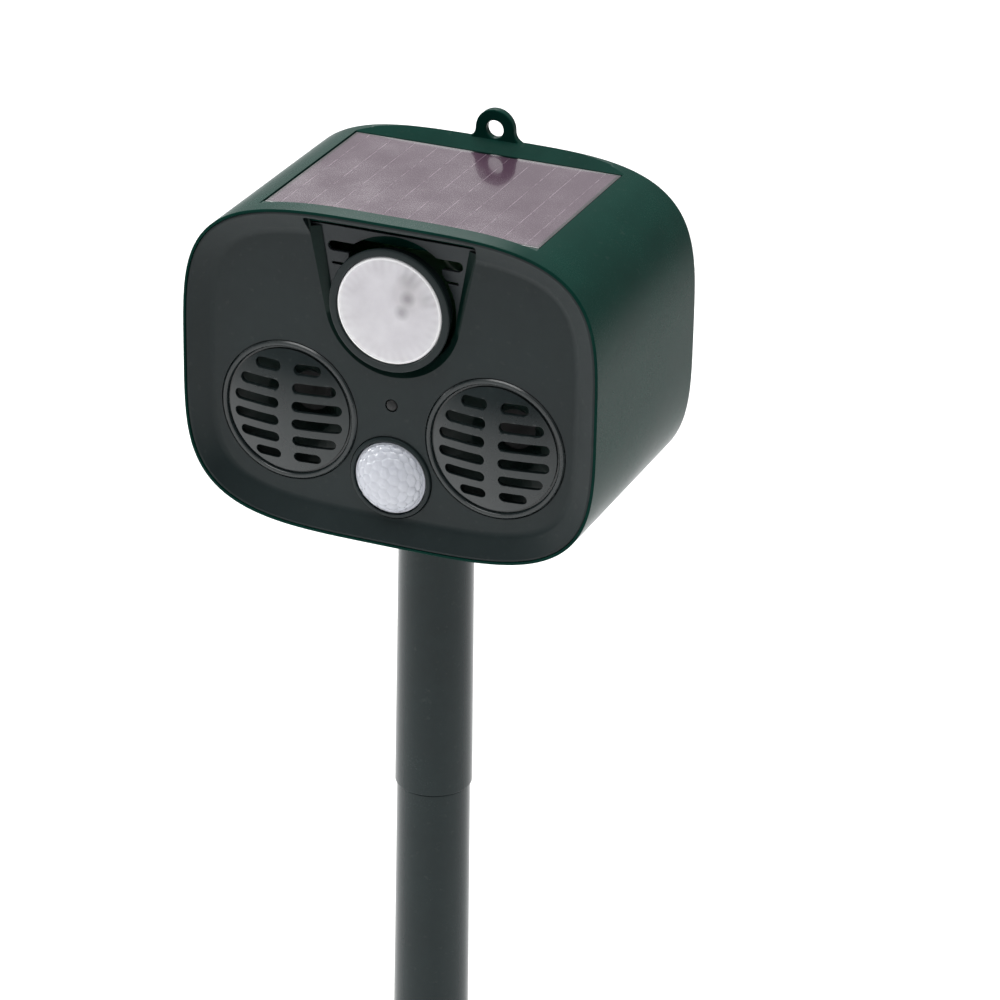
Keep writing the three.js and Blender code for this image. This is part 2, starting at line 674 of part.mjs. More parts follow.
// ---- rear cover ---------------------------------------------------------------------------
function rearCover() {
  const plate = prismY(headOutline(COVER_INSET + GAP), COVER_Y, COVER_BACK_Y);
  const wellWide = WELL_HALF_WIDTH + WELL_WALL;
  const wellTall = WELL_HALF_HEIGHT + WELL_WALL;
  const well = box(
    -wellWide, wellWide, WELL_FLOOR_Y - WELL_WALL, COVER_BACK_Y, BATTERY_Z - wellTall, BATTERY_Z + wellTall,
  );
  const strip = roundedBox(CONTROL_HALF_WIDTH + 1.8, CONTROL_HALF_HEIGHT + 1.8, 4.8, 0, CONTROL_Z);
  const pan = prismY(strip, CONTROL_FLOOR_Y - CONTROL_WALL, COVER_BACK_Y);
  const mouth = roundedBox(CONTROL_HALF_WIDTH, CONTROL_HALF_HEIGHT, 3, 0, CONTROL_Z);
  const lipWide = WELL_HALF_WIDTH + DOOR_MARGIN;
  const lipTall = WELL_HALF_HEIGHT + DOOR_MARGIN;
  const behind = CONTROL_FLOOR_Y - CONTROL_WALL - 1;
  const tools = [
    box(
      -WELL_HALF_WIDTH, WELL_HALF_WIDTH, WELL_FLOOR_Y, BACK_Y,
      BATTERY_Z - WELL_HALF_HEIGHT, BATTERY_Z + WELL_HALF_HEIGHT,
    ),
    prismY(roundedBox(lipWide, lipTall, 3, 0, BATTERY_Z), COVER_BACK_Y - 1.8, BACK_Y + 1),
    prismY(mouth, CONTROL_FLOOR_Y, BACK_Y + 1),
    cylinderY(BUTTON_RADIUS + GAP, behind, BACK_Y, BUTTON_X, CONTROL_Z, 28),
    prismY(roundedBox(5.2, 2.2, 1.2, USB_X, CONTROL_Z), behind, BACK_Y),
    screwHoles(2, COVER_Y - 1, BACK_Y),
    screwHoles(4.1, COVER_BACK_Y - 1.5, BACK_Y),
  ];
  for (const x of [-DIAL_X, DIAL_X]) {
    tools.push(cylinderY(3.2, behind, BACK_Y, x, CONTROL_Z, 24));
  }
  addPiece('rear_cover', cut(unite([plate, well, pan]), tools), GREEN_SHELL);

  const gasket = prismY(ringOutline(WALL + 0.6, WALL + 3.4), COVER_Y - 0.9, COVER_Y - GAP);
  const clear = screwHoles(1.7, COVER_Y - 2, COVER_Y);
  addPiece('rear_gasket', cut(gasket, [clear]), RUBBER);

  for (const [side, x] of [['left', -SCREW_X], ['right', SCREW_X]]) {
    coverScrew(`rear_cover_screw_upper_${side}`, x, HEAD_Z + SCREW_Z);
    coverScrew(`rear_cover_screw_lower_${side}`, x, HEAD_Z - SCREW_Z);
  }
}

function coverScrew(name, x, z) {
  const seatY = COVER_BACK_Y - 1.5 + GAP;
  const topY = COVER_BACK_Y - 0.2;
  const head = cylinderY(3.8, seatY, topY, x, z, 24);
  const shank = cylinderY(1.3, COVER_Y - 11, seatY + 0.2, x, z, 16);
  const recess = [
    box(x - 2.2, x + 2.2, topY - 0.7, BACK_Y, z - 0.4, z + 0.4),
    box(x - 0.4, x + 0.4, topY - 0.7, BACK_Y, z - 2.2, z + 2.2),
  ];
  addPiece(name, cut(head.add(shank), recess), STEEL);
}

// ---- battery ------------------------------------------------------------------------------
function battery() {
  const doorWide = WELL_HALF_WIDTH + DOOR_MARGIN - GAP;
  const doorTall = WELL_HALF_HEIGHT + DOOR_MARGIN - GAP;
  const doorY = COVER_BACK_Y - 1.8 + GAP;
  const door = prismY(roundedBox(doorWide, doorTall, 2.7, 0, BATTERY_Z), doorY, COVER_BACK_Y);
  const screwZ = BATTERY_Z - WELL_HALF_HEIGHT + 3.4;
  const grooves = [];
  for (let index = 0; index < 4; index += 1) {
    const z = BATTERY_Z + 9 + index * 2.6;
    grooves.push(prismY(slotOutline(-9, 9, z, 1.1), COVER_BACK_Y - 0.6, BACK_Y));
  }
  const holes = [
    cylinderY(1.8, WELL_FLOOR_Y, BACK_Y, 0, screwZ, 20),
    cylinderY(3.4, COVER_BACK_Y - 0.9, BACK_Y, 0, screwZ, 24),
  ];
  addPiece('battery_door', cut(door, [...grooves, ...holes]), GREEN_SHELL);

  const head = cylinderY(3.1, COVER_BACK_Y - 0.9 + GAP, COVER_BACK_Y - 0.1, 0, screwZ, 24);
  const shank = cylinderY(1.3, doorY - 3.4, COVER_BACK_Y - 0.5, 0, screwZ, 20);
  const slot = box(-2.4, 2.4, COVER_BACK_Y - 0.35, BACK_Y, screwZ - 0.4, screwZ + 0.4);
  addPiece('battery_door_screw', cut(head.add(shank), [slot]), STEEL);

  const cellY = WELL_FLOOR_Y + CELL_RADIUS + 1;
  const endX = CELL_LENGTH / 2;
  const cellPlaces = [];
  for (let index = 0; index < CELL_COUNT; index += 1) {
    const z = BATTERY_Z + (index - (CELL_COUNT - 1) / 2) * CELL_PITCH;
    cellPlaces.push(z);
    const can = cylinderX(CELL_RADIUS, -endX + 0.6, endX - 0.6, cellY, z);
    const nub = index % 2 ? [-endX - 0.6, -endX + 0.7] : [endX - 0.7, endX + 0.6];
    addPiece(`battery_cell_${index + 1}`, can.add(cylinderX(2.7, nub[0], nub[1], cellY, z, 16)), CELL_WRAP);
  }
  for (const [side, end] of [['left', -1], ['right', 1]]) {
    const outer = end * (WELL_HALF_WIDTH - GAP);
    const inner = end * (WELL_HALF_WIDTH - 0.9);
    const foot = cellPlaces[0] - 5;
    const top = cellPlaces[CELL_COUNT - 1] + 5;
    const strip = box(Math.min(inner, outer), Math.max(inner, outer), cellY - 4.5, cellY + 4.5, foot, top);
    const tips = cellPlaces.map((z) => {
      const reach = [end * (endX + 0.9), inner + end * 0.1].sort((a, b) => a - b);
      return cylinderX(2.2, reach[0], reach[1], cellY, z, 16);
    });
    addPiece(`battery_contact_${side}`, strip.add(unite(tips)), STEEL);
  }
}

// ---- controls in the back -----------------------------------------------------------------
function dial(name, x) {
  const footY = CONTROL_FLOOR_Y + GAP;
  const topY = footY + DIAL_HEIGHT;
  const knob = turnedY([
    [0, footY],
    [DIAL_RADIUS, footY],
    [DIAL_RADIUS, footY + 1.2],
    [DIAL_RADIUS - 0.5, topY - 0.5],
    [DIAL_RADIUS - 1, topY],
    [0, topY],
  ], x, CONTROL_Z, 24);
  const spindle = cylinderY(2.9, CONTROL_FLOOR_Y - 6.5, footY + 1, x, CONTROL_Z, 24);
  const flutes = [];
  for (let index = 0; index < 8; index += 1) {
    const angle = (index / 8) * Math.PI * 2 + Math.PI / 8;
    const reach = DIAL_RADIUS + 0.2;
    flutes.push(cylinderY(
      0.8, footY + 1.4, topY + 1, x + reach * Math.cos(angle), CONTROL_Z + reach * Math.sin(angle), 8,
    ));
  }
  const pointer = box(x - 0.5, x + 0.5, topY - 0.6, topY + 1, CONTROL_Z + 1.5, CONTROL_Z + 6.5);
  addPiece(`${name}_dial`, cut(knob.add(spindle), [unite(flutes), pointer]), BLACK_PLASTIC);

  const bodyY = CONTROL_BOARD_Y + BOARD_THICKNESS + GAP;
  const bodyBack = CONTROL_FLOOR_Y - CONTROL_WALL - GAP;
  const body = box(x - 6.5, x + 6.5, bodyY, bodyBack, CONTROL_Z - 6.5, CONTROL_Z + 6.5);
  const bore = cylinderY(3.2, CONTROL_FLOOR_Y - 6.9, bodyBack + 1, x, CONTROL_Z, 24);
  addPiece(`${name}_potentiometer`, cut(body, [bore]), STEEL);
}

function controls() {
  const boardY = CONTROL_BOARD_Y;
  addPiece('control_board', box(
    -41, 41, boardY, boardY + BOARD_THICKNESS, CONTROL_Z - 10, CONTROL_Z + 10,
  ), BOARD_GREEN);
  dial('mode', -DIAL_X);
  dial('sensitivity', DIAL_X);

  const flangeBack = CONTROL_FLOOR_Y - CONTROL_WALL - GAP;
  const cap = cylinderY(BUTTON_RADIUS, flangeBack - 1, CONTROL_FLOOR_Y + 3.2, BUTTON_X, CONTROL_Z, 28);
  const flange = cylinderY(6, flangeBack - 1.4, flangeBack, BUTTON_X, CONTROL_Z, 28);
  const stem = cylinderY(1.8, flangeBack - 4.4, flangeBack - 1, BUTTON_X, CONTROL_Z, 18);
  addPiece('power_button', unite([cap, flange, stem]), RUBBER);

  const bodyY = boardY + BOARD_THICKNESS + GAP;
  const bodyBack = flangeBack - 3.2;
  const switchBody = box(BUTTON_X - 4, BUTTON_X + 4, bodyY, bodyBack, CONTROL_Z - 4, CONTROL_Z + 4);
  const bore = cylinderY(2.1, bodyBack - 3.2, bodyBack + 1, BUTTON_X, CONTROL_Z, 18);
  addPiece('power_switch', cut(switchBody, [bore]), BLACK_PLASTIC);

  const outer = roundedBox(4.9, 1.9, 1, USB_X, CONTROL_Z);
  const inner = roundedBox(4.4, 1.4, 0.7, USB_X, CONTROL_Z);
  const socket = prismY(outer, bodyY, CONTROL_FLOOR_Y - 0.4);
  const mouth = prismY(inner, bodyY + 4, CONTROL_FLOOR_Y + 1);
  const tongue = box(
    USB_X - 3.2, USB_X + 3.2, bodyY + 3, CONTROL_FLOOR_Y - 1.4, CONTROL_Z - 0.35, CONTROL_Z + 0.35,
  );
  addPiece('usb_socket', cut(socket, [mouth]).add(tongue), STEEL);

  const flapY = CONTROL_FLOOR_Y + GAP;
  const pad = prismY(roundedBox(7, 4.6, 1.6, USB_X, CONTROL_Z), flapY, flapY + 1.8);
  const knuckle = box(USB_X - 7.9, USB_X - 6.4, flapY, flapY + 1.8, CONTROL_Z - 3, CONTROL_Z + 3);
  const tab = prismY(roundedBox(1.2, 1.6, 0.6, USB_X + 6, CONTROL_Z), flapY + 1, flapY + 3.2);
  addPiece('usb_flap', unite([pad, knuckle, tab]), RUBBER);
}

// ---- pole ---------------------------------------------------------------------------------
function tube(name, footZ, spigot) {
  const topZ = footZ + TUBE_LENGTH;
  const outside = coneZ(TUBE_TOP_RADIUS, TUBE_FOOT_RADIUS, footZ, topZ);
  const inside = coneZ(
    TUBE_TOP_RADIUS - TUBE_WALL, TUBE_FOOT_RADIUS - TUBE_WALL, footZ - 1, topZ + 1,
  );
  let body = cut(outside, [inside]);
  if (spigot) {
    const neckRadius = TUBE_TOP_RADIUS - TUBE_WALL;
    const neck = coneZ(neckRadius - 0.1, neckRadius, topZ - 3, topZ + SPIGOT_LENGTH);
    const shoulder = coneZ(TUBE_TOP_RADIUS - 0.4, TUBE_TOP_RADIUS - 0.3, topZ - 3, topZ);
    const hollow = coneZ(neckRadius - TUBE_WALL, neckRadius - TUBE_WALL, topZ - 4, topZ + SPIGOT_LENGTH + 1);
    body = cut(unite([body, shoulder, neck]), [hollow]);
  }
  addPiece(name, body, POLE_PLASTIC);
}

function groundSpike() {
  const plugRadius = TUBE_FOOT_RADIUS - TUBE_WALL - GAP - 0.2;
  const flange = coneZ(20, 21, 0, FLANGE_THICKNESS);
  const plug = coneZ(plugRadius - 0.3, plugRadius, FLANGE_THICKNESS - 0.5, FLANGE_THICKNESS + 26);
  const blade = new THREE.Shape();
  blade.moveTo(-13, 0.5);
  blade.lineTo(-12, -SPIKE_LENGTH * 0.72);
  blade.lineTo(-1, -SPIKE_LENGTH);
  blade.lineTo(1, -SPIKE_LENGTH);
  blade.lineTo(12, -SPIKE_LENGTH * 0.72);
  blade.lineTo(13, 0.5);
  blade.closePath();
  const across = prismY(blade, -1.3, 1.3);
  const along = across.rotate([0, 0, 90]);
  addPiece('ground_spike', unite([flange, plug, across, along]), POLE_PLASTIC);
}

mainShell();
frontPanel();
lamp();
speaker('left', -SPEAKER_X);
speaker('right', SPEAKER_X);
motionSensor();
solarPanel();
mainBoard();
rearCover();
battery();
controls();
tube('upper_tube', UPPER_TUBE_Z, false);
tube('lower_tube', LOWER_TUBE_Z, true);
groundSpike();

export default repeller;
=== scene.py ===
# %% [markdown]
# # A solar pest repeller on its pole
# The real thing is a moulded plastic casing with a dished face, two loudspeakers behind domed
# grilles, a lamp, a motion lens and a solar panel in its roof. It stands on two plug-in tubes and
# a spike. The engineering model is loaded first, as a fixed frame that every piece is measured from.

# %% Load the frame
import math

import bpy
from mathutils import Euler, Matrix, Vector


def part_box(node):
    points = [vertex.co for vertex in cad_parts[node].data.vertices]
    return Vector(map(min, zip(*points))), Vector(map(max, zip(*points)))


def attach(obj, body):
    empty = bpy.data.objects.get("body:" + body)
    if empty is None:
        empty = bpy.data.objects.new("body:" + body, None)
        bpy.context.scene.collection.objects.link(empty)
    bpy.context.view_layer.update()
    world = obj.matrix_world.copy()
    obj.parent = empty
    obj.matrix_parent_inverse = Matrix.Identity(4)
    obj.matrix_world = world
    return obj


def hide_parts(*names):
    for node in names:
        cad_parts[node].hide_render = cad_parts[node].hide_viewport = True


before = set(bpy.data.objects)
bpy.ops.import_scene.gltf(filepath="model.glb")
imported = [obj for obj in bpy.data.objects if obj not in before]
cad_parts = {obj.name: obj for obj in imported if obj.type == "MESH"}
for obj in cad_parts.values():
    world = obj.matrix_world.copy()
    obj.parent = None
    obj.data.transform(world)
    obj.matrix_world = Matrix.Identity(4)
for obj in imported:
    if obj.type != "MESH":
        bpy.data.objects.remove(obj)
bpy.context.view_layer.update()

# %% [markdown]
# ## Sizes
# All lengths are in metres. The large ones are read from the frame, so that the visible pieces
# can't drift from the engineering model. MM keeps the small ones readable.

# %% Sizes of the casing
MM = 0.001
shell_low, shell_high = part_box("main_shell")
cover_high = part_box("rear_cover")[1]
HALF_WIDTH = (shell_high.x - shell_low.x) / 2
FRONT = shell_low.y
BACK = shell_high.y
BASE = shell_low.z
HALF_HEIGHT = 56.2 * MM
HEAD = BASE + HALF_HEIGHT
POWER = 3.85
FACE = FRONT + 4.4 * MM
LAMP = HEAD + 26 * MM
print("casing", round(HALF_WIDTH * 2, 4), "by", round(BACK - FRONT, 4), "centre at", round(HEAD, 4))

# %% [markdown]
# ## Camera
# A long lens from the right and above, as for a catalogue picture: lines stay nearly parallel.
# It is placed from an azimuth, an elevation and a distance about one target point.

# %% Set up the camera
AZIMUTH = math.radians(22.53)
ELEVATION = math.radians(25.28)
ROLL = math.radians(1.08)
DISTANCE = 1.392
TARGET = Vector((23.6 * MM, -2 * MM, HEAD - 51.8 * MM))
outward = Vector((
    math.sin(AZIMUTH) * math.cos(ELEVATION),
    -math.cos(AZIMUTH) * math.cos(ELEVATION),
    math.sin(ELEVATION),
))
bpy.ops.object.camera_add(location=TARGET + outward * DISTANCE)
camera = bpy.context.object
camera.name = "camera"
camera.rotation_mode = "QUATERNION"
level = (-outward).to_track_quat("-Z", "Y")
camera.rotation_quaternion = level @ Euler((0, 0, ROLL)).to_quaternion()
camera.data.lens = 151.5
camera.data.sensor_width = 36
camera.data.clip_end = 50
bpy.context.scene.camera = camera
print("camera at", [round(value, 3) for value in camera.location])

# %% [markdown]
# ## Light
# A soft studio: bright above and behind, dim in front, with a pale floor. Dark glossy plastic shows
# mostly what it mirrors, so the fall from the bright roof to the dim front is what shapes it.

# %% Build the studio
def area_light(name, place, target, size, power):
    bpy.ops.object.light_add(type="AREA", location=place)
    light = bpy.context.object
    light.name = name
    light.data.shape = "DISK"
    light.data.size = size
    light.data.energy = power
    light.rotation_mode = "QUATERNION"
    light.rotation_quaternion = (Vector(target) - Vector(place)).to_track_quat("-Z", "Y")
    return light


head_centre = (0, 0, HEAD)
area_light("back_softbox", (-0.9, 1.3, 1.7), head_centre, 1.4, 36)
area_light("ceiling_softbox", (-0.2, -0.3, 2.2), head_centre, 1.6, 26)
area_light("left_strip", (-1.6, -0.4, 0.7), head_centre, 0.5, 7)

world = bpy.data.worlds.new("studio")
bpy.context.scene.world = world
world.use_nodes = True
wires = world.node_tree
direction = wires.nodes.new("ShaderNodeTexCoord")
axes = wires.nodes.new("ShaderNodeSeparateXYZ")
wires.links.new(direction.outputs["Generated"], axes.inputs[0])
lean = wires.nodes.new("ShaderNodeMath")
lean.operation = "MULTIPLY_ADD"
lean.inputs[1].default_value = 0.7
wires.links.new(axes.outputs["Y"], lean.inputs[0])
wires.links.new(axes.outputs["Z"], lean.inputs[2])
ramp = wires.nodes.new("ShaderNodeValToRGB")
ramp.color_ramp.elements[0].position = 0.0
ramp.color_ramp.elements[0].color = (0.16, 0.165, 0.17, 1)
ramp.color_ramp.elements[1].position = 1.0
ramp.color_ramp.elements[1].color = (1, 1, 1, 1)
wires.links.new(lean.outputs[0], ramp.inputs[0])
wires.links.new(ramp.outputs[0], wires.nodes["Background"].inputs["Color"])
wires.nodes["Background"].inputs["Strength"].default_value = 0.9
bpy.context.scene.view_settings.view_transform = "Standard"

# %% [markdown]
# ## Working by hand, in code
# Every piece starts as a primitive and is shaped with the operators that a person would press
# keys for. Operators act on whatever is selected, so each helper first clears the selection and
# then picks faces or edges by where they are.

# %% Helpers for selecting
def activate(piece):
    if bpy.context.object and bpy.context.object.mode != "OBJECT":
        bpy.ops.object.mode_set(mode="OBJECT")
    bpy.ops.object.select_all(action="DESELECT")
    if piece:
        piece.select_set(True)
        bpy.context.view_layer.objects.active = piece


def pick(piece, test, kind="FACE"):
    """Opens a piece in edit mode with the faces, or edges, chosen that pass the test."""
    activate(piece)
    bpy.ops.object.mode_set(mode="EDIT")
    bpy.ops.mesh.select_mode(type=kind)
    bpy.ops.mesh.select_all(action="DESELECT")
    bpy.ops.object.mode_set(mode="OBJECT")
    mesh = piece.data
    if kind == "FACE":
        for face in mesh.polygons:
            face.select = bool(test(face.center, face.normal))
    else:
        for edge in mesh.edges:
            edge.select = bool(test(*[mesh.vertices[end].co for end in edge.vertices]))
    bpy.ops.object.mode_set(mode="EDIT")


def tidy(piece):
    """Merges doubles, drops stray edges and turns every face outwards."""
    pick(piece, lambda *place: True)
    bpy.ops.mesh.select_all(action="SELECT")
    bpy.ops.mesh.remove_doubles(threshold=2e-6)
    bpy.ops.mesh.delete_loose()
    bpy.ops.mesh.select_all(action="SELECT")
    bpy.ops.mesh.normals_make_consistent(inside=False)
    bpy.ops.object.mode_set(mode="OBJECT")
    return piece


# %% [markdown]
# A circle is the start of nearly everything here. Its corners are slid onto the outline that the
# piece needs. Extruded, it is a slab. Spun about an axis, it is a turned part.

# %% Helpers for starting a piece
def lay_outline(name, corners, filled=True):
    activate(None)
    fill = "NGON" if filled else "NOTHING"
    bpy.ops.mesh.primitive_circle_add(vertices=len(corners), radius=0.01, fill_type=fill)
    piece = bpy.context.object
    piece.name = name
    for vertex, corner in zip(piece.data.vertices, corners):
        vertex.co = corner
    return piece


def slab(name, outline, front, back):
    """An outline of (x, z) corners, filled at y = front and extruded to y = back."""
    piece = lay_outline(name, [(x, front, z) for x, z in outline])
    pick(piece, lambda *place: True)
    bpy.ops.mesh.extrude_region_move(TRANSFORM_OT_translate={"value": (0, back - front, 0)})
    return tidy(piece)


def turned(name, profile, centre=(0, 0), steps=96):
    """A closed profile of (radius, y) corners, spun about an axis along Y through (x, z)."""
    x, z = centre
    piece = lay_outline(name, [(x + radius, y, z) for radius, y in profile], filled=False)
    pick(piece, lambda *place: True, "EDGE")
    bpy.ops.mesh.spin(steps=steps, angle=math.tau, center=(x, 0, z), axis=(0, 1, 0))
    return tidy(piece)


def upright(name, profile, steps=96):
    """The same about the pole's own axis: the profile is (radius, z)."""
    piece = lay_outline(name, [(radius, 0, z) for radius, z in profile], filled=False)
    pick(piece, lambda *place: True, "EDGE")
    bpy.ops.mesh.spin(steps=steps, angle=math.tau, center=(0, 0, 0), axis=(0, 0, 1))
    return tidy(piece)


def block(name, low, high):
    activate(None)
    centre = (Vector(low) + Vector(high)) / 2
    bpy.ops.mesh.primitive_cube_add(size=1, location=centre, scale=Vector(high) - Vector(low))
    piece = bpy.context.object
    piece.name = name
    bpy.ops.object.transform_apply(location=True, rotation=True, scale=True)
    return piece


def drill(name, radius, front, back, centre, corners=64):
    """A round bar along Y, used to cut holes."""
    activate(None)
    middle = (centre[0], (front + back) / 2, centre[1])
    bpy.ops.mesh.primitive_cylinder_add(
        vertices=corners, radius=radius, depth=back - front, location=middle, rotation=(math.pi / 2, 0, 0),
    )
    piece = bpy.context.object
    piece.name = name
    bpy.ops.object.transform_apply(location=True, rotation=True, scale=True)
    return piece


# %% [markdown]
# Holes and bosses are Boolean modifiers, applied at once. A Bevel modifier then rounds whatever
# is still sharp: no moulded edge is knife sharp, and the thin highlight along a rounded edge is
# what makes plastic look moulded.

# %% Helpers for cutting, joining and rounding
def combine(piece, tools, operation):
    for tool in tools:
        activate(piece)
        modifier = piece.modifiers.new("combine", "BOOLEAN")
        modifier.operation = operation
        modifier.solver = "EXACT"
        modifier.object = tool
        bpy.ops.object.modifier_apply(modifier=modifier.name)
        bpy.data.objects.remove(tool)
    return piece


def cut(piece, *tools):
    return combine(piece, tools, "DIFFERENCE")


def weld(piece, *tools):
    return combine(piece, tools, "UNION")


def round_edges(piece, width, angle=35, segments=2):
    activate(piece)
    modifier = piece.modifiers.new("round", "BEVEL")
    modifier.width = width
    modifier.segments = segments
    modifier.limit_method = "ANGLE"
    modifier.angle_limit = math.radians(angle)
    modifier.use_clamp_overlap = True
    bpy.ops.object.modifier_apply(modifier=modifier.name)
    return piece


def copy_to(piece, name, shift):
    activate(None)
    twin = piece.copy()
    twin.data = piece.data.copy()
    twin.name = name
    bpy.context.collection.objects.link(twin)
    activate(twin)
    bpy.ops.object.mode_set(mode="EDIT")
    bpy.ops.mesh.select_all(action="SELECT")
    bpy.ops.transform.translate(value=shift)
    bpy.ops.object.mode_set(mode="OBJECT")
    return twin


def swing(piece, degrees, axis, centre):
    """Turns the whole mesh about a point, by an angle about one axis."""
    pick(piece, lambda *place: True)
    bpy.ops.mesh.select_all(action="SELECT")
    bpy.ops.transform.rotate(value=math.radians(degrees), orient_axis=axis, center_override=centre)
    bpy.ops.object.mode_set(mode="OBJECT")
    return piece


def hand_over(piece, look, body, finish_slot, *nodes, angle=32):
    """Shades a finished piece, gives it its look and ties it to the frame."""
    activate(piece)
    bpy.ops.object.shade_smooth_by_angle(angle=math.radians(angle))
    modifier = piece.modifiers.new("even", "WEIGHTED_NORMAL")
    modifier.keep_sharp = True
    bpy.ops.object.modifier_apply(modifier=modifier.name)
    piece.data.materials.clear()
    piece.data.materials.append(look.material)
    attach(piece, body)
    if nodes:
        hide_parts(*nodes)
    print(piece.name, len(piece.data.polygons), "faces")
    return piece


def repaint(piece, look, test):
    """Gives the faces that pass the test a second look."""
    piece.data.materials.append(look.material)
    for face in piece.data.polygons:
        if test(face.center, face.normal):
            face.material_index = 1
    print(piece.name, "repainted", sum(face.material_index for face in piece.data.polygons), "faces")


# %% [markdown]
# ## Outlines
# The casing's outline is a superellipse: fuller than an ellipse, softer than a rounded box.
# Corners are spaced by angle, which puts more of them where the outline turns.

# %% Outline helpers
def casing_outline(inset, corners=192):
    wide = HALF_WIDTH - inset
    tall = HALF_HEIGHT - inset
    bend = 2 / POWER
    points = []
    for index in range(corners):
        angle = math.tau * index / corners
        x = math.copysign(abs(math.cos(angle)) ** bend, math.cos(angle))
        z = math.copysign(abs(math.sin(angle)) ** bend, math.sin(angle))
        points.append((wide * x, HEAD + tall * z))
    return points


def arc(centre, radius, start, end, steps):
    """Corners along an arc, angles in degrees."""
    angles = [math.radians(start + (end - start) * index / steps) for index in range(steps + 1)]
    return [(centre[0] + radius * math.cos(a), centre[1] + radius * math.sin(a)) for a in angles]


def rounded_box(centre, half_wide, half_tall, radius, steps=8):
    x, z = half_wide - radius, half_tall - radius
    points = []
    for turn, (side, rise) in enumerate(((1, 1), (-1, 1), (-1, -1), (1, -1))):
        corner = (centre[0] + side * x, centre[1] + rise * z)
        points += arc(corner, radius, 90 * turn, 90 * turn + 90, steps)
    return points


def long_slot(left, right, z, tall, steps=8):
    """A round-ended slot lying along X."""
    radius = tall / 2
    return arc((right - radius, z), radius, -90, 90, steps) + arc((left + radius, z), radius, 90, 270, steps)


# %% [markdown]
# ## Looks
# Shader maths reads best as sums, so a small class wraps a node's output and turns Python's
# operators into Math nodes. One method adds any other node. Everything works from Object
# coordinates, in metres, so a grain has the same size on every piece.

# %% Shader helpers
class Wire:
    """The output of a node, with arithmetic."""

    def __init__(self, look, socket):
        self.look = look
        self.socket = socket

    def maths(self, operation, first, second):
        return self.look.maths(operation, first, second)

    def __add__(self, other):
        return self.maths("ADD", self, other)

    def __sub__(self, other):
        return self.maths("SUBTRACT", self, other)

    def __rsub__(self, other):
        return self.maths("SUBTRACT", other, self)

    def __mul__(self, other):
        return self.maths("MULTIPLY", self, other)

    def over(self, limit):
        return self.maths("GREATER_THAN", self, limit)

    __radd__ = __add__
    __rmul__ = __mul__


class Look:
    """One finish: a Principled surface and the nodes that feed it."""

    def __init__(self, name):
        self.material = bpy.data.materials.new(name)
        self.material.use_nodes = True
        self.tree = self.material.node_tree
        self.surface = self.tree.nodes["Principled BSDF"]
        self.place = self.node("ShaderNodeTexCoord", output="Object")

    def node(self, kind, settings=None, inputs=None, output=0):
        node = self.tree.nodes.new(kind)
        for key, value in (settings or {}).items():
            setattr(node, key, value)
        for key, value in (inputs or {}).items():
            self.connect(node.inputs[key], value)
        return Wire(self, node.outputs[output])

    def maths(self, operation, *values):
        return self.node("ShaderNodeMath", {"operation": operation}, dict(enumerate(values)))

    def axis(self, letter):
        """One coordinate of the place on the piece."""
        return self.node("ShaderNodeSeparateXYZ", inputs={0: self.place}, output=letter)

    def connect(self, socket, value):
        if isinstance(value, Wire):
            self.tree.links.new(value.socket, socket)
        else:
            socket.default_value = value

    def set(self, **inputs):
        for name, value in inputs.items():
            self.connect(self.surface.inputs[name.replace("_", " ")], value)
        return self

    def noise(self, scale, detail=3.0, stretch=None, roughness=0.5):
        place = self.place
        if stretch:
            place = self.node("ShaderNodeMapping", inputs={"Vector": place, "Scale": stretch})
        inputs = {"Vector": place, "Scale": scale, "Detail": detail, "Roughness": roughness}
        return self.node("ShaderNodeTexNoise", inputs=inputs, output="Fac")

    def between(self, share, first, second):
        """A colour part of the way from the first to the second."""
        inputs = {0: share, 6: first, 7: second}
        return self.node("ShaderNodeMix", {"data_type": "RGBA"}, inputs, output=2)

    def spread(self, value, low, high, new_low, new_high):
        """Maps one range of numbers onto another, clamped."""
        inputs = {"Value": value, "From Min": low, "From Max": high, "To Min": new_low, "To Max": new_high}
        return self.node("ShaderNodeMapRange", inputs=inputs)

    def relief(self, height, distance, strength=1.0):
        inputs = {"Height": height, "Distance": distance, "Strength": strength}
        self.set(Normal=self.node("ShaderNodeBump", inputs=inputs, output="Normal"))
        return self


def paint(red, green, blue):
    """A colour from its three display values, 0 to 255, as the linear light that nodes want."""
    shares = [value / 255 for value in (red, green, blue)]
    linear = [((c + 0.055) / 1.055) ** 2.4 if c > 10 / 255 else c / 12.92 for c in shares]
    return (*linear, 1.0)


# %% [markdown]
# ### Moulded plastic
# Injection moulded ABS has a fine spark-eroded grain, a faint mottle where the melt flowed, and
# a sheen that varies a little. Outdoors it also picks up a trace of dust.

# %% Plastic finishes
def moulded_plastic(name, colour, fresh, roughness, grain=0.02, grain_scale=2600, shine=0.5):
    look = Look(name)
    mottle = look.noise(38, 4)
    flow = look.noise(150, 5, stretch=(1, 0.35, 1))
    share = look.spread(mottle * 0.65 + flow * 0.35, 0.35, 0.65, 0, 1)
    specks = look.noise(grain_scale, 2, roughness=0.6)
    dust = look.spread(look.noise(420, 6), 0.62, 0.78, 0, 0.05)
    tone = look.between(share, colour, fresh)
    look.set(
        Base_Color=look.between(dust, tone, paint(120, 124, 120)),
        Roughness=look.spread(mottle * 0.5 + specks * 0.5, 0.3, 0.7, roughness - 0.05, roughness + 0.07),
        Specular_IOR_Level=shine,
    )
    return look.relief(specks + flow * 0.3, grain * MM, 0.6)


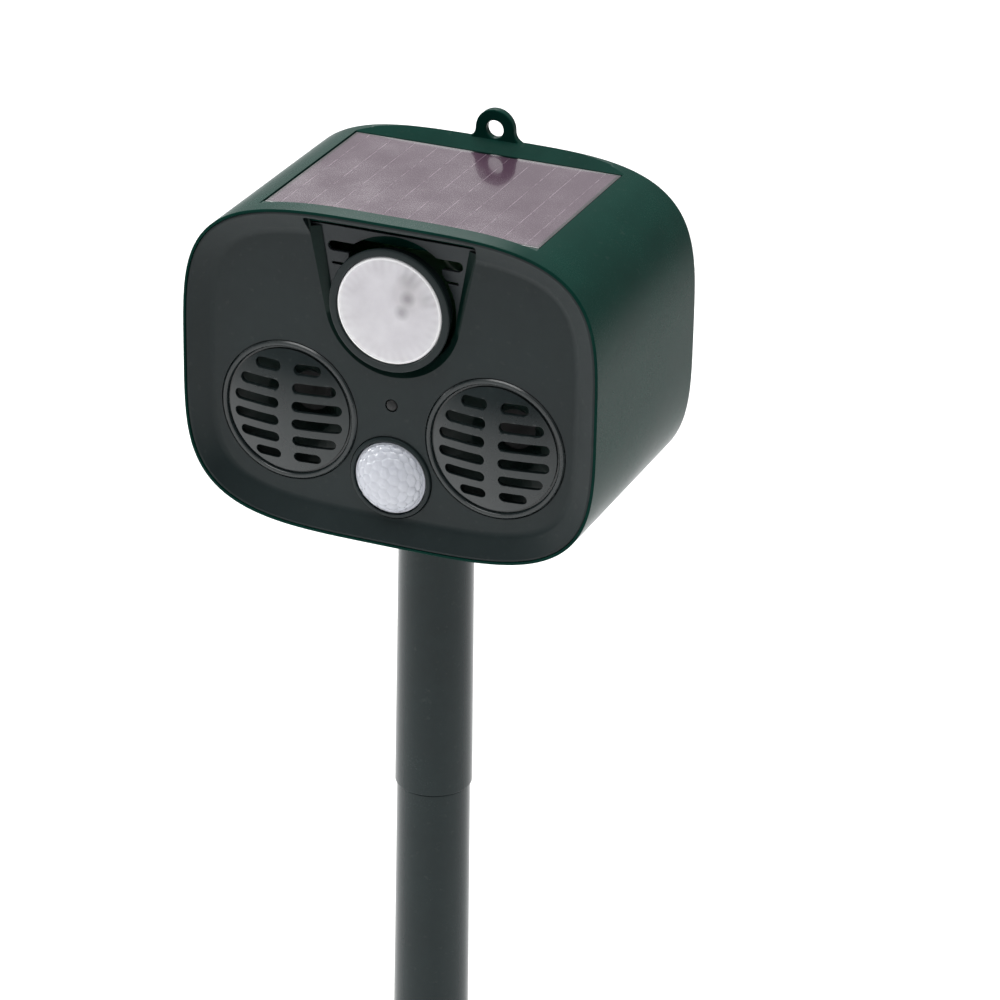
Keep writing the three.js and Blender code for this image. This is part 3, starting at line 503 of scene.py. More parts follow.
casing_green = moulded_plastic(
    "casing_green", paint(6, 45, 38), paint(9, 52, 44), 0.24, grain=0.01, shine=0.035)
face_grey = moulded_plastic(
    "face_grey", paint(24, 34, 35), paint(29, 40, 41), 0.40, grain=0.02, shine=0.3)
grille_grey = moulded_plastic(
    "grille_grey", paint(27, 35, 36), paint(33, 42, 43), 0.2, grain=0.006, shine=0.6)
# A darker copy of the panel plastic: painted shade for the notch's sloped wall.
notch_shade_green = moulded_plastic(
    "notch_shade_green", paint(6, 30, 26), paint(9, 36, 31), 0.35, grain=0.01, shine=0.2)
pole_grey = moulded_plastic(
    "pole_grey", paint(22, 36, 37), paint(27, 42, 43), 0.22, grain=0.01, shine=0.28)
# The plate is the face plastic's grey; this copy is made lighter, as painted light that lifts the roof lip's
# shadow.
louvre_painted_light_grey = moulded_plastic(
    "louvre_painted_light_grey", paint(46, 52, 55), paint(52, 58, 61), 0.40, grain=0.02, shine=0.4)
black_plastic = moulded_plastic(
    "black_plastic", paint(16, 17, 18), paint(26, 28, 29), 0.5, grain=0.03)
rubber = moulded_plastic(
    "soft_rubber", paint(20, 21, 22), paint(30, 32, 33), 0.75, grain=0.05, grain_scale=1800)
print("plastics", [look.material.name for look in (casing_green, face_grey, pole_grey, black_plastic)])

# %% [markdown]
# ### Metals, boards and small parts
# Plated steel is brushed along one axis. A circuit board has copper tracks under its green
# lacquer. Cells wear a printed-looking shrink sleeve with a band and no writing.

# %% Metal and board finishes
def plated_metal(name, colour, worn, roughness, stretch):
    look = Look(name)
    brush = look.noise(900, 4, stretch=stretch)
    cloud = look.noise(90, 4)
    look.set(
        Base_Color=look.between(look.spread(cloud, 0.35, 0.7, 0, 1), colour, worn),
        Roughness=look.spread(brush, 0.3, 0.7, roughness - 0.08, roughness + 0.14),
        Metallic=1.0,
    )
    return look.relief(brush, 0.01 * MM, 0.5)


def circuit_board(name):
    look = Look(name)
    tracks = look.node(
        "ShaderNodeTexBrick",
        {"offset": 0.37, "squash": 0.6},
        {"Vector": look.place, "Scale": 260.0, "Mortar Size": 0.03, "Mortar Smooth": 0.1},
        output="Fac",
    )
    blotch = look.noise(220, 3)
    lacquer = look.between(blotch, paint(14, 70, 38), paint(24, 92, 50))
    look.set(
        Base_Color=look.between(tracks * 0.55, lacquer, paint(70, 150, 80)),
        Roughness=look.spread(blotch, 0.3, 0.7, 0.3, 0.5),
        Coat_Weight=0.3,
    )
    return look.relief(tracks, 0.03 * MM, 0.7)


bright_steel = plated_metal("bright_steel", paint(190, 192, 194), paint(150, 152, 156), 0.28, (1, 1, 8))
copper_wire = plated_metal("copper_wire", paint(196, 120, 66), paint(150, 88, 48), 0.3, (1, 14, 1))
board_green = circuit_board("board_green")

cell_sleeve = Look("cell_sleeve")
band = cell_sleeve.axis("X").over(14 * MM)
scuffs = cell_sleeve.spread(cell_sleeve.noise(700, 5), 0.55, 0.7, 0, 0.3)
sleeve_colour = cell_sleeve.between(band, paint(36, 120, 78), paint(214, 214, 206))
cell_sleeve.set(
    Base_Color=cell_sleeve.between(scuffs, sleeve_colour, paint(120, 130, 122)),
    Roughness=cell_sleeve.spread(scuffs, 0, 0.3, 0.28, 0.5),
    Coat_Weight=0.4,
)
cell_sleeve.relief(cell_sleeve.noise(240, 2), 0.05 * MM, 0.4)
print("metals and boards ready")

# %% [markdown]
# ### Lenses
# The lamp's lens is clear polycarbonate over a mirror cup, and looks milky because the cup
# scatters light. A faint glow stands in for that gathered light: painted light, whiter towards the
# lower left. Two dark spots are painted shadows of the lamp's chips, two fainter ones are fainter
# painted shadows, a white ring at the rim is a painted highlight, and fine rays run in from the rim.
# The motion lens is white polythene that only infrared passes through.

# %% Lens finishes
lamp_clear = Look("lamp_clear")
haze = lamp_clear.noise(120, 3)
sideways = lamp_clear.axis("X")
lift = lamp_clear.axis("Z") - LAMP
reach = lamp_clear.maths("SQRT", sideways * sideways + lift * lift)
rays = lamp_clear.maths("SINE", lamp_clear.maths("ARCTAN2", lift, sideways) * 36.0)


def painted_shadow_spot(x, z, size):
    """A soft round painted shadow at (x, z) from the lens's middle, in millimetres."""
    side = sideways - x * MM
    up = lift - z * MM
    away = lamp_clear.maths("SQRT", side * side + up * up)
    return lamp_clear.spread(away, 0.2 * size * MM, size * MM, 1, 0)


# Painted shadows of the lamp's chips, two dark and two fainter, darken the milky colour.
chip_shadows = painted_shadow_spot(6.8, 5.6, 3.2) + painted_shadow_spot(4.8, 0.6, 3) * 0.9
faint_shadow_spots = painted_shadow_spot(7.2, 12, 5) * 0.5 + painted_shadow_spot(13.2, 6, 4) * 0.4
# Painted light: the glow turns whiter towards the lower left.
painted_bright_side = lamp_clear.spread((sideways + lift) * -1.0, 6 * MM, 20 * MM, 0, 1)
near_rim = lamp_clear.spread(reach, 12.5 * MM, 17 * MM, 0, 1)
# A painted highlight: a white ring at the lens's rim, made more opaque so that it shows.
rim = lamp_clear.spread(reach, 17.2 * MM, 17.5 * MM, 0, 1)
rayed = lamp_clear.spread(rays, -1, 1, 0, 1) * near_rim * 0.4
cloud = lamp_clear.spread(haze, 0.3, 0.7, 0, 1)
milk = lamp_clear.between(cloud, paint(222, 219, 224), paint(240, 238, 242))
shadowed_milk = lamp_clear.between((chip_shadows + faint_shadow_spots) * 0.75, milk, paint(140, 136, 142))
streaked = lamp_clear.between(rayed, shadowed_milk, paint(250, 250, 252))
# The emission is painted light: a faint glow for the light that the cup gathers.
lamp_clear.set(
    Base_Color=lamp_clear.between(rim, streaked, paint(255, 255, 255)),
    Roughness=lamp_clear.spread(haze, 0.3, 0.7, 0.06, 0.14),
    Alpha=lamp_clear.spread(rim, 0, 1, 0.6, 0.95),
    Emission_Color=lamp_clear.between(painted_bright_side, streaked, paint(255, 255, 255)),
    Emission_Strength=0.13,
    Coat_Weight=0.4,
)
lamp_clear.relief(rayed + haze * 0.3, 0.08 * MM, 0.4)

milky_white = Look("milky_white")
clouds = milky_white.noise(260, 4)
milky_white.set(
    Base_Color=milky_white.between(clouds, paint(206, 209, 219), paint(226, 229, 237)),
    Roughness=milky_white.spread(clouds, 0.3, 0.7, 0.2, 0.3),
    Coat_Weight=0.5,
)
milky_white.relief(clouds, 0.06 * MM, 0.5)

mirror_cup = plated_metal("mirror_cup", paint(240, 240, 243), paint(224, 225, 229), 0.3, (1, 1, 1))
phosphor = Look("phosphor")
grainy = phosphor.noise(1500, 2)
phosphor.set(Base_Color=phosphor.between(grainy, paint(150, 140, 112), paint(176, 166, 138)), Roughness=0.5)
phosphor.relief(grainy, 0.02 * MM, 0.5)
print("lenses ready")

# %% [markdown]
# ## The casing
# One moulding holds everything: a deep superellipse tube, closed at the back by a cover and at the
# front by a panel. It is made as a solid block first, because a solid takes Boolean cuts cleanly.
# The block's outer edges are bevelled before anything is cut: the back is fully rounded and the
# front has only the tiny radius that a mould leaves.

# %% Casing block
PANEL_RIM = FRONT + 0.4 * MM
PANEL_RIM_BACK = FRONT + 4.7 * MM
LEDGE = FRONT + 5.8 * MM
PANEL_BACK = FACE + 1.8 * MM
BEHIND_PANEL = PANEL_BACK + 0.3 * MM
COVER_FRONT = cover_high.y - 2.6 * MM
COVER_BACK = cover_high.y


def flat_edge(y):
    """A test for edges that lie in the plane at y."""
    return lambda first, second: abs(first.y - y) < 1e-6 and abs(second.y - y) < 1e-6


casing = slab("casing", casing_outline(0), FRONT, BACK)
pick(casing, flat_edge(BACK), "EDGE")
bpy.ops.mesh.bevel(offset=3 * MM, segments=7, profile=0.5)
pick(casing, flat_edge(FRONT), "EDGE")
bpy.ops.mesh.bevel(offset=0.35 * MM, segments=3, profile=0.5)
tidy(casing)
print("casing block", len(casing.data.polygons), "faces")

# %% [markdown]
# The inside is four steps, each a slab of a smaller outline: the mouth that takes the front panel,
# the ledge that it seats on, the main space, and the recess for the rear cover. Stacking plain
# slabs keeps every step square, as the mould core is.

# %% Hollow the casing
steps = [
    slab("mouth", casing_outline(0.85 * MM), FRONT - 1 * MM, LEDGE),
    slab("ledge", casing_outline(5 * MM), LEDGE - 1 * MM, LEDGE + 3 * MM),
    slab("space", casing_outline(2.2 * MM), LEDGE + 2 * MM, COVER_FRONT - 0.6 * MM),
    slab("recess", casing_outline(1.6 * MM), COVER_FRONT - 0.9 * MM, BACK + 1 * MM),
]
cut(casing, *steps)
print("hollowed", len(casing.data.polygons), "faces")

# %% [markdown]
# The solar panel lies in a tray in the roof. The tray's floor is welded under the roof and clipped
# to the casing's outline, then the pocket is cut from above. A shallow sill in front of it is
# what shows as a bright band between the panel and the rim. At the back the roof slopes down to the
# panel: the upper rear edge of the cutter is slid backwards, so that its end face leans.

# %% Solar tray
sheet_low, sheet_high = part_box("solar_cover_sheet")
POCKET = 48 * MM
TRAY_FLOOR = HEAD + 48 * MM
SHEET_TOP = sheet_high.z
TRAY_FRONT = FRONT + 9.8 * MM
TRAY_BACK = FRONT + 81 * MM
SILL_FRONT = FRONT + 7.1 * MM
ABOVE = HEAD + HALF_HEIGHT + 1 * MM

tray = block(
    "tray",
    (-POCKET - 1.8 * MM, TRAY_FRONT - 1.5 * MM, TRAY_FLOOR - 2 * MM),
    (POCKET + 1.8 * MM, TRAY_BACK + 3.8 * MM, ABOVE),
)
sill = block(
    "sill",
    (-POCKET - 1.8 * MM, LEDGE, SHEET_TOP - 1.4 * MM),
    (POCKET + 1.8 * MM, TRAY_FRONT, ABOVE),
)
weld(tray, sill)
envelope = slab("envelope", casing_outline(0.01 * MM), LEDGE, BACK - 3.5 * MM)
combine(tray, [envelope], "INTERSECT")
weld(casing, tray)
pocket = block("pocket", (-POCKET, TRAY_FRONT, TRAY_FLOOR), (POCKET, TRAY_BACK, ABOVE))
opening = block("opening", (-POCKET, SILL_FRONT, SHEET_TOP), (POCKET, TRAY_BACK, ABOVE))
ROOF_SLOPE = 3.5 / 6
pick(opening, lambda *ends: all(end.y > 0 and end.z > SHEET_TOP for end in ends), "EDGE")
bpy.ops.transform.translate(value=(0, (ABOVE - SHEET_TOP) / ROOF_SLOPE, 0))
bpy.ops.object.mode_set(mode="OBJECT")
cut(casing, pocket, opening)
print("tray floor at", round(TRAY_FLOOR, 4), "sheet top at", round(SHEET_TOP, 4))

# %% [markdown]
# The hanging lug is a rounded tongue at the back edge that flares into the roof. Below it, posts
# take the rear cover's screws and a socket takes the pole. Each is a slab or a bar welded on.

# %% Lug, posts and socket
LUG_HOLE = HEAD + 59.2 * MM
LUG_RADIUS = 6.9 * MM
ROOF = HEAD + HALF_HEIGHT - 1.6 * MM


def flare(side):
    """The curve from the roof into the side of the lug."""
    steps = 8
    curve = []
    for index in range(steps + 1):
        share = index / steps
        near = side * ((1 - share) ** 2 * 12.5 + 2 * share * (1 - share) * 6.9 + share ** 2 * 6.9) * MM
        up = (1 - share) ** 2 * ROOF + 2 * share * (1 - share) * (ROOF + 0.6 * MM) + share ** 2 * LUG_HOLE
        curve.append((near, up))
    return curve


lug_outline = [(12.5 * MM, ROOF - 3 * MM)] + flare(1)[:-1]
lug_outline += arc((0, LUG_HOLE), LUG_RADIUS, 0, 180, 24)
lug_outline += flare(-1)[::-1][1:] + [(-12.5 * MM, ROOF - 3 * MM)]
lug = slab("lug", lug_outline, BACK - 3 * MM, BACK)
cut(lug, drill("eye", 3.1 * MM, BACK - 9 * MM, BACK + 1 * MM, (0, LUG_HOLE)))
round_edges(lug, 0.5 * MM, 60, 3)
cut(lug, slab("recess", casing_outline(1.6 * MM), COVER_FRONT - 1 * MM, BACK + 1 * MM))
weld(casing, lug)

SCREWS = [(x * 57.4 * MM, HEAD + z * 40.8 * MM) for x in (-1, 1) for z in (-1, 1)]
for spot in SCREWS:
    post = drill("post", 5 * MM, COVER_FRONT - 20 * MM, COVER_FRONT - 1.2 * MM, spot, 32)
    limit = slab("limit", casing_outline(0.8 * MM), COVER_FRONT - 22 * MM, COVER_FRONT)
    combine(post, [limit], "INTERSECT")
    weld(casing, post)
    cut(casing, drill("pilot", 1.6 * MM, COVER_FRONT - 16 * MM, COVER_FRONT + 1 * MM, spot, 24))

SOCKET_TOP = BASE + 18.3 * MM
socket = upright("socket", [
    (0.5 * MM, BASE + 0.6 * MM),
    (15.2 * MM, BASE + 0.6 * MM),
    (15.2 * MM, SOCKET_TOP + 2 * MM),
    (0.5 * MM, SOCKET_TOP + 2 * MM),
])
weld(casing, socket)
bore = upright("bore", [
    (0, BASE - 1 * MM),
    (13 * MM, BASE - 1 * MM),
    (12.9 * MM, SOCKET_TOP),
    (0, SOCKET_TOP),
])
cut(casing, bore)
tidy(casing)
hand_over(casing, casing_green, "head", "shell_green", "main_shell")


# The ledge's upper faces show beside the plate and take its grey, lightened as painted light against the
# lip's shadow.
def upper_ledge(centre, normal):
    on_ledge = abs(centre.y - LEDGE) < 0.1 * MM and abs(normal.y) > 0.9
    return on_ledge and centre.z > HEAD + 45 * MM


repaint(casing, louvre_painted_light_grey, upper_ledge)

# %% [markdown]
# ## The front panel
# The face is one moulding: a rim, a band that slopes back into it, and a flat plate in the middle.
# Inset does exactly this. The front face is inset once for the rim and once more, sunk, for the
# slope. The inner crease is then bevelled wide, because the real one is a soft line.

# %% Front panel blank
SLOPE = 6.7 * MM
panel = slab("face_panel", casing_outline(1 * MM), PANEL_RIM, PANEL_RIM_BACK)
pick(panel, lambda centre, normal: normal.y > 0.9)
bpy.ops.mesh.inset(thickness=5.5 * MM, depth=0)
bpy.ops.mesh.extrude_region_move(TRANSFORM_OT_translate={"value": (0, PANEL_BACK - PANEL_RIM_BACK, 0)})
pick(panel, lambda centre, normal: normal.y < -0.9)
bpy.ops.mesh.inset(thickness=0.8 * MM, depth=0)
bpy.ops.mesh.inset(thickness=SLOPE, depth=-(FACE - PANEL_RIM))
pick(panel, flat_edge(FACE), "EDGE")
bpy.ops.mesh.bevel(offset=1.3 * MM, segments=5, profile=0.5)
pick(panel, flat_edge(PANEL_RIM), "EDGE")
bpy.ops.mesh.bevel(offset=0.16 * MM, segments=2, profile=0.5)
tidy(panel)
print("panel blank", len(panel.data.polygons), "faces")

# %% [markdown]
# The lamp sits in a notch: a circle below with straight sides that spread to a flat top. Its walls
# slope inwards towards the back, so the cutter is a slab whose back end is scaled down. The
# speaker, lens and indicator holes are plain round cuts.

# %% Notch outline
NOTCH_TOP = HEAD + 53.4 * MM
NOTCH_RADIUS, NOTCH_HALF = 23.8 * MM, 30 * MM


def notch_outline(radius, half, top):
    """A circle below, straight sides that spread, and a flat top."""
    rise = top - LAMP
    tangent = math.degrees(math.atan2(rise, half) - math.acos(radius / math.hypot(half, rise)))
    corner = 1.5 * MM
    points = arc((0, LAMP), radius, 180 - tangent, 360 + tangent, 48)
    points += curved_corner((half - 0.2 * corner, top - corner), (half, top), (half - corner, top))
    points += curved_corner((corner - half, top), (-half, top), (0.2 * corner - half, top - corner))
    return points


def curved_corner(start, bend, end, steps=6):
    """A quadratic curve from start to end, pulled towards bend."""
    curve = []
    for index in range(steps + 1):
        share = index / steps
        weights = ((1 - share) ** 2, 2 * share * (1 - share), share ** 2)
        x, z = (sum(w * p[axis] for w, p in zip(weights, (start, bend, end))) for axis in (0, 1))
        curve.append((x, z))
    return curve


notch_front = notch_outline(NOTCH_RADIUS, NOTCH_HALF, NOTCH_TOP)
notch_back = notch_outline(NOTCH_RADIUS - 2.4 * MM, NOTCH_HALF - 3.8 * MM, NOTCH_TOP - 1 * MM)
print("notch", len(notch_front), "corners")

# %% [markdown]
# The cutter is a slab as far as the face. Beyond it the back end's corners are slid one by one to
# the smaller outline, which gives the walls their lean. The round holes are drilled after it.

# %% Cut the notch and the holes
SPEAKER_X = 36.3 * MM
SPEAKER_Z = HEAD - 16.1 * MM
MOTION = HEAD - 33.2 * MM
INDICATOR = HEAD - 7.8 * MM


def notch_cutter(front, back):
    """A slab of the notch from front to the face, then leaning inwards to back."""
    cutter = slab("notch", notch_front, front, FACE)
    pick(cutter, lambda centre, normal: normal.y > 0.9)
    bpy.ops.mesh.extrude_region_move(TRANSFORM_OT_translate={"value": (0, back - FACE, 0)})
    bpy.ops.object.mode_set(mode="OBJECT")
    for vertex in cutter.data.vertices:
        if abs(vertex.co.y - back) < 1e-6:
            here = (vertex.co.x, vertex.co.z)
            match = min(range(len(notch_front)), key=lambda index: math.dist(notch_front[index], here))
            vertex.co.x, vertex.co.z = notch_back[match]
    return tidy(cutter)


cut(panel, notch_cutter(FRONT - 10 * MM, PANEL_BACK + 0.01 * MM))
for side in (-1, 1):
    cut(panel, drill("speaker_hole", 24.4 * MM, FRONT - 5 * MM, 0, (side * SPEAKER_X, SPEAKER_Z), 128))
cut(panel, drill("motion_hole", 14.5 * MM, FRONT - 5 * MM, 0, (0, MOTION), 96))
cut(panel, drill("indicator_hole", 2.2 * MM, FRONT - 5 * MM, 0, (0, INDICATOR), 40))
tidy(panel)
print("panel cut", len(panel.data.polygons), "faces")

# %% [markdown]
# The notch's sloped wall is painted a darker green than the panel: painted shade. A second
# material slot paints those faces alone. They are picked by place: inside the notch and facing
# neither front nor back.

# %% Finish the panel
hand_over(panel, face_grey, "head", "face_plastic", "front_panel")


def notch_wall(centre, normal):
    slanted = 0.2 < abs(normal.y) < 0.95
    near = abs(centre.x) < 31 * MM and centre.z > LAMP - 25 * MM
    sunk = FACE - 0.05 * MM < centre.y < PANEL_BACK + 0.05 * MM
    return slanted and near and sunk


repaint(panel, notch_shade_green, notch_wall)

# %% [markdown]
# ## The lamp
# A louvred plate closes the notch behind the panel and carries the lamp in its middle. The long
# slots and the crescent let heat out. The crescent is a round cut that a block trims flat below.

# %% Louvre plate
PLATE_BACK = BEHIND_PANEL + 1.4 * MM
plate_outline = notch_outline(NOTCH_RADIUS + 0.6 * MM, NOTCH_HALF + 0.6 * MM, HEAD + 50.1 * MM)
louvre = slab("lamp_louvre", plate_outline, BEHIND_PANEL, PLATE_BACK)
cut(louvre, drill("lamp_hole", 21.3 * MM, FRONT, PLATE_BACK + 1 * MM, (0, LAMP), 96))
crescent = drill("crescent", 23.6 * MM, FRONT, PLATE_BACK + 1 * MM, (0, LAMP), 96)
cap = block("cap", (-16.2 * MM, FRONT - 1 * MM, LAMP + 12 * MM), (16.2 * MM, 0, LAMP + 40 * MM))
combine(crescent, [cap], "INTERSECT")
cut(louvre, crescent)
for side in (-1, 1):
    for near, far, rise, tall in ((12, 23.4, 17.1, 3.4), (17, 22, 11.3, 0.9)):
        ends = sorted((side * near * MM, side * far * MM))
        outline = long_slot(ends[0], ends[1], LAMP + rise * MM, tall * MM)
        cut(louvre, slab("louvre_slot", outline, FRONT, PLATE_BACK + 1 * MM))
tidy(louvre)
round_edges(louvre, 0.12 * MM, 50, 1)
hand_over(louvre, louvre_painted_light_grey, "head", "face_plastic", "lamp_surround")

# %% [markdown]
# The collar, the clear lens and the mirror cup are all turned parts, so each is a profile spun
# about the lamp's axis. The collar narrows behind its lip, so that it stands off the plate.

# %% Collar, lens and mirror cup
LENS = 18.1 * MM
LIP = FACE - 2.8 * MM
SEAT = LIP + 2.4 * MM
collar = turned("lamp_ring", [
    (LENS + 0.3 * MM, LIP + 0.25 * MM),
    (LENS + 0.55 * MM, LIP),
    (20.3 * MM, LIP),
    (20.8 * MM, LIP + 0.2 * MM),
    (21 * MM, LIP + 0.6 * MM),
    (20.9 * MM, LIP + 1.1 * MM),
    (19.4 * MM, LIP + 2 * MM),
    (19.4 * MM, PLATE_BACK),
    (LENS - 0.4 * MM, PLATE_BACK),
    (LENS - 0.4 * MM, SEAT),
    (LENS + 0.3 * MM, SEAT),
], (0, LAMP), 128)
hand_over(collar, face_grey, "head", "face_plastic", "lamp_collar")

crown = LIP - 0.6 * MM
shares = (0.05, 0.3, 0.5, 0.7, 0.82, 0.9, 0.95)
lens_front = [(LENS * share, crown + 0.75 * MM * share ** 4) for share in shares]
lens = turned("lamp_window", [(0, crown)] + lens_front + [
    (LENS * 0.985, LIP + 0.25 * MM),
    (LENS, LIP + 0.6 * MM),
    (LENS, SEAT - 0.3 * MM),
    (0, SEAT - 0.3 * MM),
], (0, LAMP), 96)
hand_over(lens, lamp_clear, "head", "clear_lens", "lamp_lens")

CUP = SEAT + 0.2 * MM
CUP_DEPTH = 14 * MM
falls = [index / 16 for index in range(17)]
inside = [((6.4 + 9.7 * math.sqrt(1 - fall)) * MM, CUP + CUP_DEPTH * fall) for fall in falls]
outside = [(radius + 1.1 * MM, y) for radius, y in reversed(inside)]
cup = turned("mirror_cup", inside + outside, (0, LAMP), 64)
hand_over(cup, mirror_cup, "head", "mirror_plastic", "lamp_reflector", angle=20)

# %% [markdown]
# ## The speaker grilles
# Each grille is a low dome inside a flat rim, with six rows of round-ended slots on either side of
# a bar. The dome is spun from a curved profile. The slots are cut square through it and then
# every slot edge is rounded, which catches the light as the real ones do.

# %% Left grille
DOME = FACE - 0.1 * MM
DOME_RADIUS = 21.4 * MM


def bulge(share):
    return 3.4 * MM * (1 - share * share)


dome_front = [(DOME_RADIUS * index / 14, DOME - bulge(index / 14)) for index in range(15)]
dome_back = [(radius, y + 1.6 * MM) for radius, y in reversed(dome_front)]
grille = turned("left_speaker_grille", dome_front + [
    (DOME_RADIUS + 0.1 * MM, DOME + 0.7 * MM),
    (DOME_RADIUS + 0.7 * MM, DOME + 0.7 * MM),
    (DOME_RADIUS + 0.9 * MM, DOME),
    (DOME_RADIUS + 1.2 * MM, DOME - 0.35 * MM),
    (DOME_RADIUS + 1.7 * MM, DOME - 0.45 * MM),
    (23.7 * MM, DOME - 0.35 * MM),
    (24.1 * MM, DOME + 0.1 * MM),
    (24.1 * MM, PANEL_BACK - 0.2 * MM),
    (DOME_RADIUS, PANEL_BACK - 0.2 * MM),
] + dome_back, (-SPEAKER_X, SPEAKER_Z), 96)
for row in range(6):
    rise = (row - 2.5) * 6.2 * MM
    far = math.sqrt((19.4 * MM) ** 2 - rise ** 2)
    for start, end in ((2.3 * MM, far), (-far, -2.3 * MM)):
        outline = long_slot(start - SPEAKER_X, end - SPEAKER_X, SPEAKER_Z + rise, 3.6 * MM)
        cut(grille, slab("grille_slot", outline, FRONT - 2 * MM, PANEL_BACK + 1 * MM))
tidy(grille)
round_edges(grille, 0.3 * MM, 40, 2)
print("grille", len(grille.data.polygons), "faces")

# %% [markdown]
# Both loudspeakers wear the same moulding, so the second grille is a copy moved across the face.

# %% Both grilles
right_grille = copy_to(grille, "right_speaker_grille", (2 * SPEAKER_X, 0, 0))
hand_over(grille, grille_grey, "head", "face_plastic", "speaker_grille_left")
hand_over(right_grille, grille_grey, "head", "face_plastic", "speaker_grille_right")

# %% [markdown]
# ## The motion lens
# The white dome is a mosaic of small facets, each a lens that aims one beam of infrared. An
# icosphere whose corners are cut off by a vertex bevel turns into hexagons and pentagons of even
# size. Each facet is inset and raised a little, and the whole is squashed to the dome's height.

# %% Motion lens
MOTION_RADIUS = 12.4 * MM
MOTION_HEIGHT = 6 * MM
DOME_FOOT = FACE - 0.2 * MM
activate(None)
bpy.ops.mesh.primitive_ico_sphere_add(subdivisions=2, radius=MOTION_RADIUS * 0.95, location=(0, 0, 0))
motion = bpy.context.object
motion.name = "motion_lens"
pick(motion, lambda *place: True, "VERT")
bpy.ops.mesh.select_all(action="SELECT")
bpy.ops.mesh.bevel(affect="VERTICES", offset_type="PERCENT", offset_pct=33, segments=1)
bpy.ops.mesh.remove_doubles(threshold=0.02 * MM)
bpy.ops.object.mode_set(mode="OBJECT")
pick(motion, lambda centre, normal: centre.y < 1 * MM)
bpy.ops.mesh.inset(thickness=0.2 * MM, depth=0.2 * MM, use_individual=True)
bpy.ops.mesh.inset(thickness=0.5 * MM, depth=0.36 * MM, use_individual=True)
bpy.ops.mesh.inset(thickness=0.6 * MM, depth=0.18 * MM, use_individual=True)
bpy.ops.mesh.select_all(action="SELECT")
bpy.ops.transform.resize(value=(1, (MOTION_HEIGHT - 0.2 * MM) / MOTION_RADIUS, 1))
bpy.ops.transform.translate(value=(0, DOME_FOOT, MOTION))
bpy.ops.mesh.select_all(action="SELECT")
bpy.ops.mesh.bisect(plane_co=(0, DOME_FOOT, MOTION), plane_no=(0, 1, 0), clear_outer=True, use_fill=True)
tidy(motion)
foot = turned("lens_foot", [
    (0, DOME_FOOT - 0.4 * MM),
    (MOTION_RADIUS - 1.2 * MM, DOME_FOOT - 0.4 * MM),
    (MOTION_RADIUS - 0.1 * MM, DOME_FOOT - 0.2 * MM),
    (MOTION_RADIUS, DOME_FOOT + 0.1 * MM),
    (MOTION_RADIUS, BEHIND_PANEL),
    (MOTION_RADIUS + 1.6 * MM, BEHIND_PANEL),
    (MOTION_RADIUS + 1.6 * MM, BEHIND_PANEL + 1 * MM),
    (0, BEHIND_PANEL + 1 * MM),
], (0, MOTION), 96)
weld(motion, foot)
tidy(motion)
hand_over(motion, milky_white, "head", "milky_lens", "pir_lens", angle=50)

# %% [markdown]
# A thin rounded ring holds the motion lens from in front. The indicator above it is a dark light
# pipe, a plug with a domed end and a flange behind the panel.

# %% Its ring and the indicator
ring = turned("motion_ring", [
    (MOTION_RADIUS + 0.3 * MM, FACE - 0.8 * MM),
    (MOTION_RADIUS + 0.5 * MM, FACE - 1 * MM),
    (MOTION_RADIUS + 1.1 * MM, FACE - 1 * MM),
    (MOTION_RADIUS + 1.6 * MM, FACE - 0.75 * MM),
    (MOTION_RADIUS + 1.8 * MM, FACE - 0.4 * MM),
    (MOTION_RADIUS + 1.8 * MM, PANEL_BACK - 0.2 * MM),
    (MOTION_RADIUS + 0.3 * MM, PANEL_BACK - 0.2 * MM),
], (0, MOTION), 96)
hand_over(ring, face_grey, "head", "face_plastic", "pir_retaining_ring")

pipe = turned("indicator", [
    (0, FACE - 0.3 * MM),
    (0.9 * MM, FACE - 0.24 * MM),
    (1.6 * MM, FACE - 0.05 * MM),
    (1.9 * MM, FACE + 0.3 * MM),
    (1.9 * MM, BEHIND_PANEL),
    (3 * MM, BEHIND_PANEL),
    (3 * MM, PANEL_BACK + 4 * MM),
    (0, PANEL_BACK + 4 * MM),
], (0, INDICATOR), 48)
hand_over(pipe, black_plastic, "head", "clear_lens", "indicator_light_pipe")

# %% [markdown]
# ## The solar panel
# Thin-film cells lie under a clear sheet: a mauve field with fine pale lines where the laser parted
# one cell from the next, and a dark border. The lines are drawn by the material from the sheet's
# own place, and a thin clear coat over a duller base gives the depth of glass over silicon.

# %% Solar finish
solar = Look("solar_sheet")
STRIP = 8.47 * MM
across = solar.axis("X")
depth = solar.axis("Y")
cell = solar.maths("PINGPONG", across, STRIP / 2)
line = solar.maths("LESS_THAN", cell, 0.12 * MM)
broken = solar.spread(solar.noise(260, 4), 0.42, 0.58, 0.05, 0.5)
middle = (sheet_low.y + sheet_high.y) / 2
half_depth = (sheet_high.y - sheet_low.y) / 2
side_border = solar.maths("ABSOLUTE", across).over(46.4 * MM)
end_border = solar.maths("ABSOLUTE", depth - middle).over(half_depth - 1.2 * MM)
border = solar.maths("MAXIMUM", side_border, end_border)
film = solar.noise(60, 4)
streak = solar.noise(120, 3, stretch=(1, 0.05, 1))
cells = solar.between(film * 0.6 + streak * 0.4, paint(66, 49, 62), paint(76, 58, 71))
lined = solar.between(line * broken, cells, paint(150, 138, 146))
dust = solar.spread(solar.noise(300, 6), 0.58, 0.74, 0, 0.05)
dusty = solar.between(dust, lined, paint(150, 148, 144))
solar.set(
    Base_Color=solar.between(border, dusty, paint(22, 22, 26)),
    Roughness=solar.spread(film, 0.3, 0.7, 0.10, 0.16),
    Coat_Weight=0.2,
    Coat_Roughness=0.03,
    Specular_IOR_Level=0.3,
)
solar.relief(line, 0.005 * MM, 0.2)
sheet = block("solar_panel", sheet_low, sheet_high)
